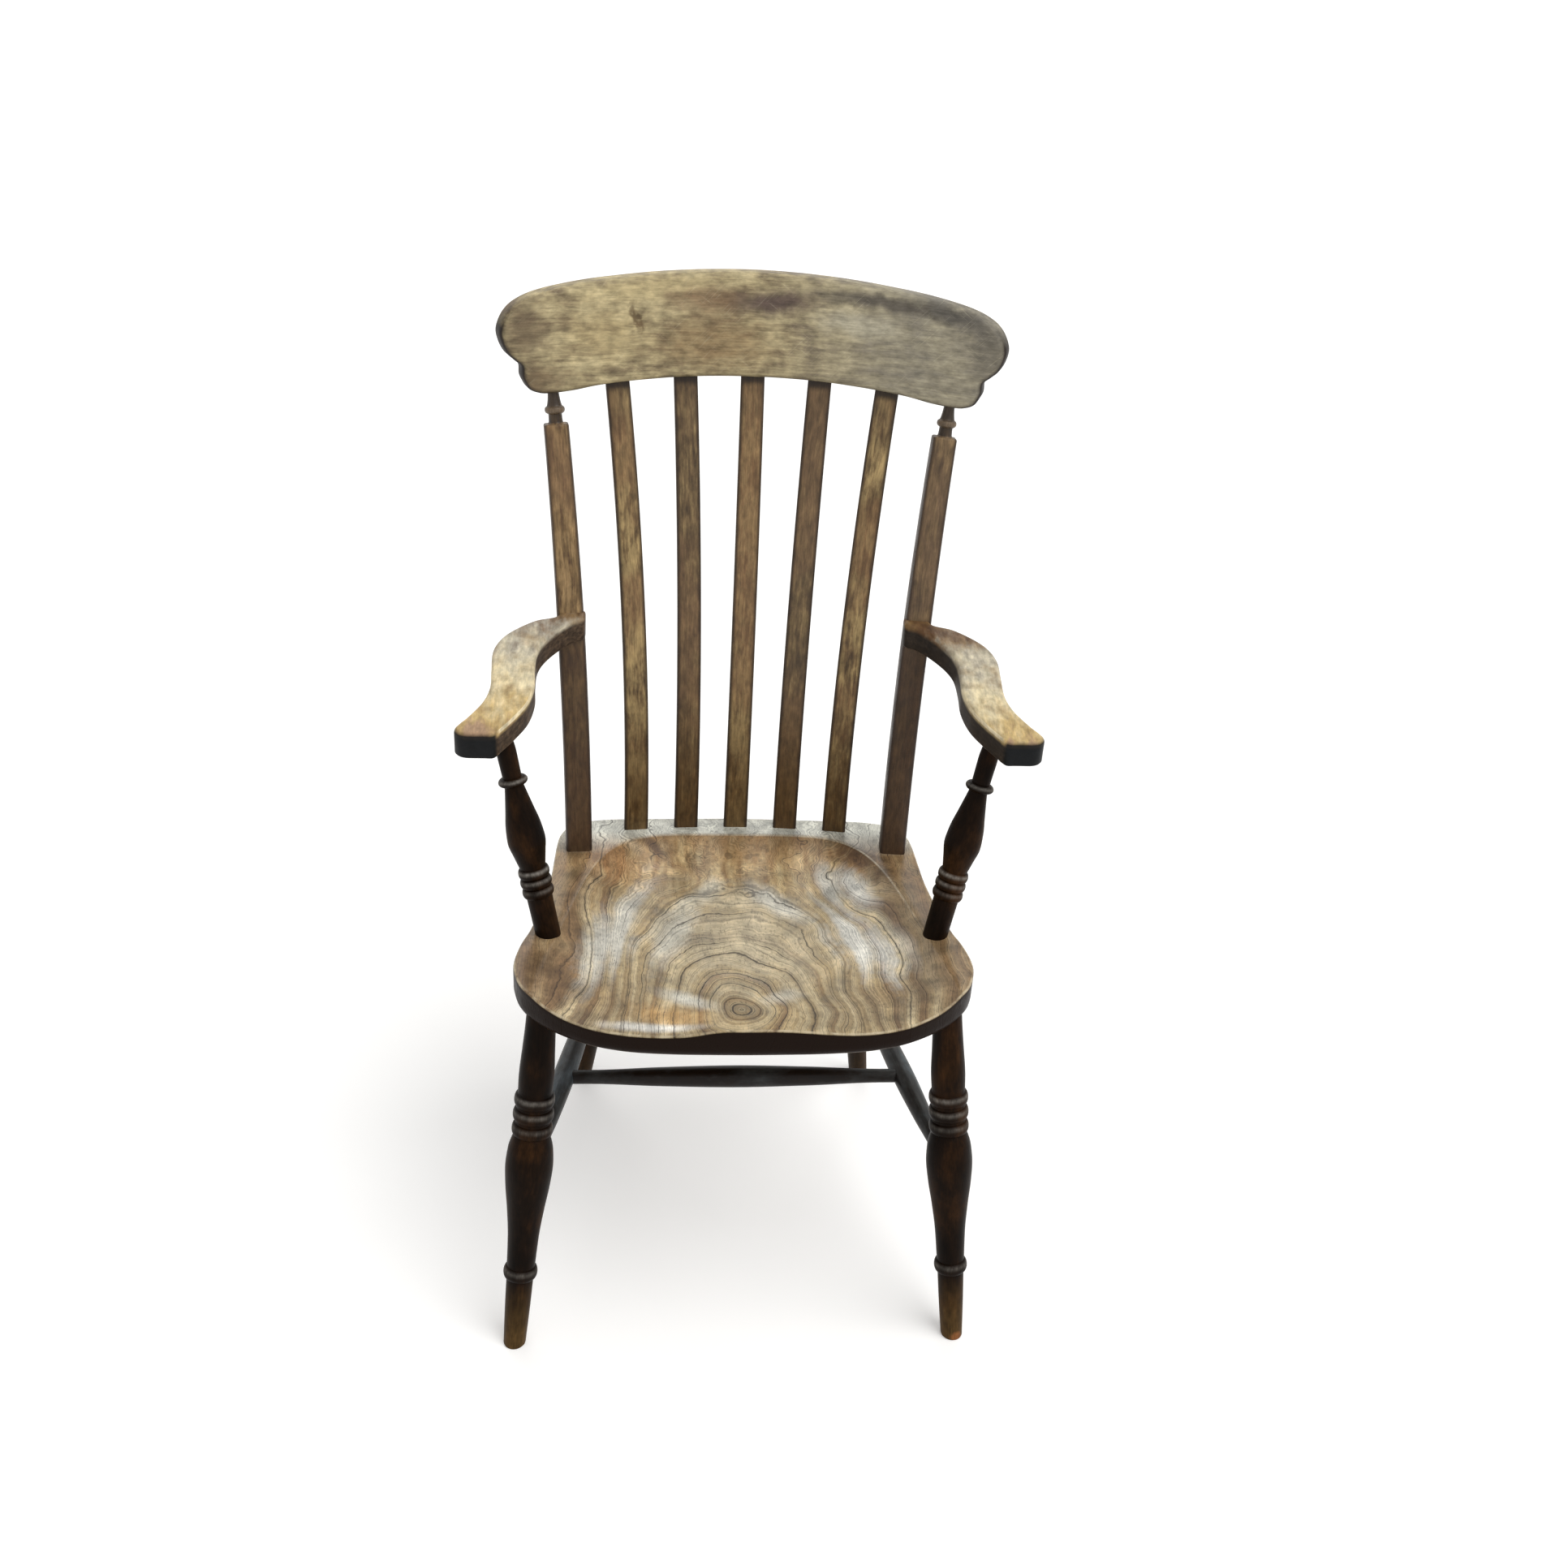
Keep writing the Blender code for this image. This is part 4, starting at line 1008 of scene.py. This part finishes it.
def planeLath(index, name):
    place = index - (lathCut["count"] - 1) / 2
    x0, x1 = place * lathCut["spacing"], place * lathCut["spread"]
    top = crestUnder(x1)
    y0 = seatBack - lathCut["insetY"] - x0 * x0 / (2 * lathCut["rowRadius"])
    y0 += lathCut["thick"] / 2
    y1 = crestFront(x1, top) + crest["thick"] / 2
    rise = top - plank["rim"]
    made = planeStick(
        name, lathCut["wide"], lathCut["thick"], -lathCut["mortise"], rise + lathCut["mortise"],
    )
    easeEdges(made, upright, lathCut["arris"], 3)
    scoreAcross(made, (0, 0, 1), [rise * k / 32 for k in range(33)])
    markGrain(made, (0, 1, 2), (0.0, 0.31 * index, backRise - rise))
    markTone(made, lathLook["tones"][index])

    def path(share):
        bow = 4.0 * share * (1.0 - share) * lathCut["bow"]
        return Vector((
            x0 + (x1 - x0) * share - bow * lathCut["bowIn"] * place,
            y0 + (y1 - y0) * share - bow,
            plank["rim"] + rise * share,
        ))

    def bend(x, y, z):
        point, _, wide, front = frameAt(path, z / rise, lathCut["rowRadius"])
        return point + wide * x * (1.0 - lathCut["taper"] * z / rise) - front * y

    bendBy(made, bend)
    return made


# Legs and stretchers

frontLeg = {
    "full": 0.054, "insetX": 0.033, "insetY": 0.073, "splay": 4.4, "rake": -14.1, "footEase": 0.0014,
    "grain": ((0.0, 0.23), (0.0, 0.4), (0.0, 0.0)),  # where the left leg's wood grew, and steps on
    # a ring gives its low and high shares, its diameter and the strength of its painted highlight
    "line": (
        (-0.06, 0.455), (0.0, 0.475), (0.06, 0.51), (0.14, 0.55), (0.210, 0.575),
        ("ring", 0.210, 0.247, 0.725, 0.35),
        (0.247, 0.60), (0.34, 0.660), (0.43, 0.796), (0.50, 0.935), (0.56, 1.0), (0.61, 0.944),
        (0.640, 0.833), (0.655, 0.735),
        ("ring", 0.655, 0.690, 0.855, 0.3), (0.699, 0.735), ("ring", 0.699, 0.734, 0.855, 0.45),
        (0.743, 0.73), ("ring", 0.743, 0.778, 0.845, 0.6),
        (0.780, 0.713), (0.83, 0.731), (0.91, 0.676), (0.975, 0.630), (1.06, 0.60),
    ),
}
rearLeg = {
    "full": 0.038, "insetX": 0.1165, "insetY": 0.070, "splay": 7.6, "rake": 12.1, "footEase": 0.0014,
    "grain": ((0.5, 0.23), (0.0, 0.4), (0.0, 0.0)),
    "line": (
        (-0.06, 0.645), (0.0, 0.671), (0.20, 0.763), (0.38, 0.908), (0.52, 1.0), (0.60, 0.987),
        (0.75, 0.868), (0.90, 0.789), (0.975, 0.763), (1.05, 0.72),
    ),
}


def legLine(leg, side):
    edge = seatFront + leg["insetY"] if leg["rake"] < 0 else seatBack - leg["insetY"]
    tip = Vector((side * (halfWidth - leg["insetX"]), edge, seatUnder))
    foot = tip + Vector((side * tangent(leg["splay"]), tangent(leg["rake"]), -1.0)) * seatUnder
    return foot, tip


rail = {
    "height": 0.210, "end": 0.017, "swell": 0.027, "straight": 0.026, "fullness": 0.65,
    "crossPlace": 0.44, "stop": (0.008, 0.004), "crossTenon": 0.009,
}


def turnRail(name, start, end, stops, fullest, shift):
    length = (end - start).length
    ends, swell, straight = rail["end"], rail["swell"], rail["straight"]
    middle = ends + rail["fullness"] * (swell - ends)
    low, high = stops[0] + straight, length - stops[1] - straight
    line = flow([
        (stops[0], ends), (low, ends), ((low + length * fullest) / 2, middle),
        (length * fullest, swell), ((length * fullest + high) / 2, middle),
        (high, ends), (length - stops[1], ends),
    ], 6)
    made = turnOnLathe(name, [(at, width, 0.0) for at, width in line], 48)
    markGrain(made, (0, 1, 2), shift)
    layAlong(made, start, end)
    return made


# Arms and their supports

armCut = {
    "wide": 0.050, "thick": 0.030, "ease": (0.005, 0.0025), "height": 0.263, "slope": 10.2,
    "housing": 0.005, "overhang": 0.0541,
    "outer": (  # out from the half width as shares of the arm's width, and from tip to stile
        (1.13, 0.012), (1.235, 0.038), (1.230, 0.065), (1.140, 0.098), (0.990, 0.148),
        (0.720, 0.265), (0.600, 0.387), (0.620, 0.531), (0.640, 0.673), (0.510, 0.776),
        (0.230, 0.862), (-0.250, 0.951),
    ),
    "inner": (
        (0.300, 0.026), (0.250, 0.046), (-0.020, 0.144), (-0.270, 0.260), (-0.380, 0.396),
        (-0.356, 0.531), (-0.370, 0.667), (-0.530, 0.772), (-0.850, 0.880), (-1.140, 0.948),
    ),
    "front": ((0.41, 0.001), (0.60, 0.0), (0.80, 0.0), (0.98, 0.001)),
}
support = {
    "full": 0.043, "insetX": 0.0348, "setY": 0.1798, "splay": 11.9, "rake": 10.7,
    "grain": ((0.9, 0.21), (0.1, 0.0), (0.0, 0.35)),
    # a ring gives its low and high shares, its diameter and the strength of its painted highlight
    "line": (
        (-0.085, 0.65), (0.0, 0.67), (0.10, 0.675), (0.187, 0.685),
        ("ring", 0.187, 0.235, 0.845, 0.3), ("ring", 0.235, 0.282, 0.845, 0.6),
        ("ring", 0.282, 0.330, 0.835, 0.9),
        (0.334, 0.692), (0.395, 0.85), (0.462, 1.0), (0.536, 0.93), (0.608, 0.765),
        (0.680, 0.60), (0.730, 0.49),
        ("ring", 0.730, 0.768, 0.775, 0.9),
        (0.768, 0.50), (0.80, 0.505), (0.886, 0.52), (0.96, 0.46), (1.06, 0.44),
    ),
}
armSlope = math.cos(math.radians(armCut["slope"]))
armDeep = armCut["thick"] / armSlope  # thickness measured plumb
armLean = 1.0 - tangent(support["rake"]) * tangent(armCut["slope"])
supportFoot = seatFront + support["setY"]
armTip = (
    supportFoot + tangent(support["rake"]) * (armCut["height"] - armDeep) - armCut["overhang"] * armLean
)


def armTop(y):
    return plank["rim"] + armCut["height"] + (y - armTip) * tangent(armCut["slope"])


def armJoint(side):
    # where the middle of the arm's thickness meets the stile
    def below(share):
        point = postFront(side, share)
        return point.z < armTop(point.y) - armDeep / 2

    return postFrame(side, halved(0.2, 0.9, below))


def sawArm(side, name, shift, tone):
    point, _, _, front = armJoint(side)
    length = point.y - armTip
    past = 1.0 + post["thick"] / length
    wide = armCut["wide"]
    inner, outer = ((abs(point.x) + way * post["wide"] / 2 - halfWidth) / wide for way in (-1.0, 1.0))
    nose = rounded([*armCut["inner"][1::-1], *armCut["front"], *armCut["outer"][:3]], 6, False)
    outside = rounded(armCut["outer"][2:] + ((outer, 1.0), (outer, past)), 6, False)
    inside = rounded(((inner, past), (inner, 0.985)) + armCut["inner"][:0:-1], 6, False)
    plan = nose[:-1] + outside + inside[:-1]
    plan = [(side * (halfWidth + out * wide), along * length) for out, along in plan]
    made = sawBoard(name, plan, armCut["thick"])
    for face, ease in zip((0.0, -armCut["thick"]), armCut["ease"]):
        easeEdges(made, lambda a, b: max(abs(a.z - face), abs(b.z - face)) < 1e-6, ease, 4)
    markGrain(made, (0, 2, 1), shift)
    markTone(made, tone)
    bendBy(made, lambda x, along, deep: (  # sloped with its front end left plumb
        x, armTip + along, armTop(armTip + along) + deep / armSlope,
    ))
    sawOff(made, point - front * armCut["housing"], -front, 0.0)
    return made


def supportLine(side):
    foot = Vector((side * (halfWidth - support["insetX"]), supportFoot, plank["rim"]))
    lean = Vector((side * tangent(support["splay"]), tangent(support["rake"]), 1.0))
    return foot, foot + lean * ((armTop(foot.y) - armDeep - plank["rim"]) / armLean)


armLook = {
    "top": (  # from the front end to the stile
        # worn honey wood with a painted pale sheen in the middle, a painted grey reflection at the
        # bend, then darker towards the stile
        (0.0, "#ab8d70"), (0.11, "#c6ab75"), (0.36, "#decfa9"), (0.58, "#c9bfa6"),
        (0.70, "#a39a89"), (0.80, "#806b54"), (0.90, "#5c432d"),
    ),
    # shaded is painted shade on the right arm's sides, whose tone also moves its top along the ramp;
    # rim is a painted highlight
    "side": "#5b4a3a", "sideDark": "#372b21", "shaded": "#241f1b", "end": "#090d10",
    "rim": "#e8dab8", "blotch": "#8d7148", "long": 0.27, "tones": (0.0, 0.09),
}


def handledArm(look):
    # Beech arm worn through its stain by hands: bare honey on top under a painted pale sheen, a painted
    # grey reflection at the bend, brown sides with painted shade on the right arm's, and a black front
    # end
    material, add, shader = startFinish("handled beech", 0.14)
    wood = woodFigure(add, (4.0, 40.0), 24.0)
    share = add("MapRange", (wood["z"], 0.0, look["long"]))
    patch = add("MapRange", (wood["clouds"], 0.35, 0.65, -0.13, 0.13))
    share = add("Math", (share, wood["own"]), **plus)
    share = add("Math", (share, patch), use_clamp=True, **plus)
    top = add("ValToRGB", (share,), stops=look["top"])
    spots = add("TexNoise", {
        "Vector": wood["place"], "Scale": 1 / (24 * mm), "Detail": 3.0, "Roughness": 0.55,
    })
    top = layShade(add, top, look["blotch"], (spots, 0.46, 0.72, 0.0, 0.7))
    side = layShade(add, colour(look["sideDark"]), look["side"], (wood["streaks"], 0.4, 0.65))
    # painted shade on the right arm's sides
    side = layShade(add, side, look["shaded"], (wood["own"], 0.0, look["tones"][1], 0.0, 0.8))
    tone = layShade(add, side, top, (wood["y"], -0.009, -0.003), **soft)
    # a painted highlight along the eased top edges towards the front
    rim = add("Math", (wood["y"], -0.0028, 0.0016), operation="COMPARE")
    behind = add("MapRange", (wood["z"], 0.006, 0.012))
    tone = layShade(add, tone, look["rim"], rim, behind, (wood["z"], 0.11, 0.03, 0.0, 0.75), **soft)
    out = add("SeparateXYZ", (add("TexCoord", out="Object"),), out="X")
    out = add("Math", (out,), operation="ABSOLUTE")
    wrap = add("MapRange", (out, 0.308, 0.320, 0.0, -0.009))  # the black goes round the outer corner
    along = add("Math", (wood["z"], wrap), **plus)
    along = add("Math", (wood["mottle"], 0.003, along), **timesPlus)
    under = add("MapRange", (wood["y"], -0.0001, -0.0032))
    tone = layShade(add, tone, look["end"], under, (along, 0.0075, 0.003, 0.0, 0.97), **soft)
    endFinish(add, shader, tone, wood, (0.34, 0.5), 0.3 * mm, 0.08)
    return material


turningLook = {
    # rubbed is the rings' painted highlight
    "body": ((0.3, "#0b0603"), (0.5, "#1a0f07"), (0.7, "#372210")), "rubbed": "#98928a",
    "foot": "#5f4828", "bare": "#8a5a35", "chip": 0.011, "gloss": 0.05, "rough": (0.32, 0.5),
    "chipPlace": (0.004, -0.012, 0.004),  # from the middle of the right front foot
}
railSheenLook = {
    # the side rails' grey and blue-grey is a painted reflection of the sky over their dark stain; the
    # cross rail's lower tone is painted shade
    **turningLook, "body": ((0.3, "#150c06"), (0.5, "#323332"), (0.7, "#545e64")), "gloss": 0.2,
    "crossTone": -0.17,  # the cross rail lies in the shade and has kept its brown
}


def blackenedBeech(name, look):
    # Turned beech gone nearly black with stain and old polish: a painted highlight on the rings'
    # upper crowns, feet worn back to brown, bare wood where a foot has chipped
    material, add, shader = startFinish(name, look["gloss"])
    wood = woodFigure(add, (4.0, 90.0), 40.0)
    level = add("Math", (wood["clouds"], wood["own"]), **plus)
    tone = add("ValToRGB", (level,), stops=look["body"])
    # a painted highlight on the upper crown of each ring
    proud = add("Attribute", out="Fac", attribute_name="proud")
    tone = layShade(add, tone, look["rubbed"], proud, wood["mottle"])
    place = add("TexCoord", out="Object")
    split = add("SeparateXYZ", (place,)).node.outputs
    worn, ahead = (split["Z"], 0.085, 0.0, 0.0, 0.8), (split["Y"], 0.0, -0.15, 0.3, 1.0)
    tone = layShade(add, tone, look["foot"], worn, ahead)
    chipped = legLine(frontLeg, 1.0)[0] + Vector(look["chipPlace"])
    away = add("VectorMath", (place, chipped), out="Value", operation="DISTANCE")
    ragged = add("Math", (wood["mottle"], 0.012, away), **timesPlus)
    tone = layShade(add, tone, look["bare"], (ragged, look["chip"] + 0.004, look["chip"]))
    endFinish(add, shader, tone, wood, look["rough"], 0.3 * mm)
    return material


# Fixings

screw = {
    "wide": 0.0045, "head": 0.0085, "rim": 0.0008, "reach": 0.013, "offset": 0.004,
    "slot": 0.0011, "slotDeep": 0.0011, "slotTurn": 0.6,
}


def turnScrew(side, name):
    point, _, wide, front = armJoint(side)
    entry = point + wide * (side * screw["offset"]) - front * post["thick"]
    long = post["thick"] + screw["reach"]
    flare = (screw["head"] - screw["wide"]) / 2
    made = turnOnLathe(name, [
        (0.0, screw["head"] * 0.55), (0.0001, screw["head"] * 0.94), (0.0003, screw["head"]),
        (screw["rim"], screw["head"]), (screw["rim"] + flare, screw["wide"]),
        (long - 2 * screw["wide"], screw["wide"]), (long, 0.3 * screw["wide"]),
    ], 32)
    pickUp()
    bpy.ops.mesh.primitive_cube_add(size=1.0)
    blade = bpy.context.object
    blade.scale = (screw["slot"], screw["head"] * 1.4, screw["slotDeep"] * 2)
    blade.rotation_euler = (0.0, 0.0, screw["slotTurn"] * side)
    bpy.ops.object.transform_apply(location=True, rotation=True, scale=True)
    combine(made, blade, "DIFFERENCE")
    layAlong(made, entry, entry + front)
    return made


ironLook = {"bright": "#4c4743", "rust": "#3b2a20", "rough": (0.4, 0.75)}


def agedIron(look):
    # Iron screw heads gone brown: dull metal with thin rust in patches
    material, add, shader = startFinish("aged iron", 0.5)
    place = add("TexCoord", out="Object")
    spots = add("TexNoise", {"Vector": place, "Scale": 1 / (2.5 * mm), "Detail": 3.0})
    setSockets(shader, {
        "Base Color": layShade(add, colour(look["bright"]), look["rust"], spots), "Metallic": 0.8,
        "Roughness": add("MapRange", (spots, 0.0, 1.0, *look["rough"])),
    })
    return material


peg = {"wide": 0.005, "long": 0.020, "proud": 0.0004, "rise": 0.016}


def cutPeg(side, name, shift):
    point, up, _, front = postFrame(side, 1.0)
    axis = point - front * (post["thick"] / 2)
    centre = axis + up * ((crestUnder(axis.x) - axis.z + peg["rise"]) / up.z)
    back = crestFront(centre.x, centre.z) + crest["thick"]
    entry = centre - front * ((back - centre.y) / -front.y)
    made = turnOnLathe(name, [
        (-peg["proud"], peg["wide"] * 0.7), (-peg["proud"] * 0.6, peg["wide"] * 0.9),
        (0.0003, peg["wide"]), (peg["long"], peg["wide"]),
    ], 16)
    markGrain(made, (0, 1, 2), shift)
    layAlong(made, entry, entry + front)
    return made


setCamera()
setStudio()
print("camera and studio set")

dress(carveSeat(), "seat", waxedElm(elm))
print("seat carved")
dress(sawCrest(), "crest_rail", rubbedCrest(crestLook))
print("crest sawn")
lathWood = stainedBeech("stained beech lath", lathLook)
for index in range(lathCut["count"]):
    dress(planeLath(index, f"backLath{index + 1}"), f"lath_{index + 1}", lathWood)
print("laths planed")

stileWood = stainedBeech("stained beech stile", stileLook)
armWood = handledArm(armLook)
turnedWood = blackenedBeech("blackened beech", turningLook)
railSheenWood = blackenedBeech("blackened beech rail with painted sheen", railSheenLook)
iron = agedIron(ironLook)
frontLegs = turnPair("frontLeg", frontLeg, partial(legLine, frontLeg))
rearLegs = turnPair("rearLeg", rearLeg, partial(legLine, rearLeg))
supports = turnPair("armSupport", support, supportLine, 48)
print("legs and supports turned")

crossings = []
for k, (name, side) in enumerate(sides):
    hand = name.capitalize()
    dress(frontLegs[name], f"front_leg_{name}", turnedWood)
    dress(rearLegs[name], f"rear_leg_{name}", turnedWood)
    dress(supports[name], f"arm_support_{name}", turnedWood)
    ends = []
    for leg in (frontLeg, rearLeg):
        foot, tip = legLine(leg, side)
        ends.append(foot + (tip - foot) * (rail["height"] / tip.z))
    crossings.append(ends[0] + (ends[1] - ends[0]) * rail["crossPlace"])
    made = turnRail("sideRail" + hand, *ends, rail["stop"], rail["crossPlace"], (1.1 + k, 0, 0))
    dress(made, f"side_stretcher_{name}", railSheenWood)
    made = planeStile(side, "stile" + hand, (0.0, 0.7 + k, 0.0), stileLook["tones"][k])
    dress(made, f"stile_{name}", stileWood)
    made = sawArm(side, "arm" + hand, (0.37 * k, 0.0, 0.0), armLook["tones"][k])
    dress(made, f"arm_{name}", armWood)
    dress(turnScrew(side, "armScrew" + hand), f"arm_screw_{name}", iron)
    made = cutPeg(side, "crestPeg" + hand, (0.0, 0.2 + k, 0.4))
    dress(made, f"crest_peg_{name}", stileWood)
gap = rail["swell"] / 2 - rail["crossTenon"]
cross = turnRail("crossRail", *crossings, (gap, gap), 0.5, (2.3, 0.0, 0.0))
markTone(cross, railSheenLook["crossTone"])
dress(cross, "cross_stretcher", railSheenWood)
print("rails, stiles, arms and fixings made")
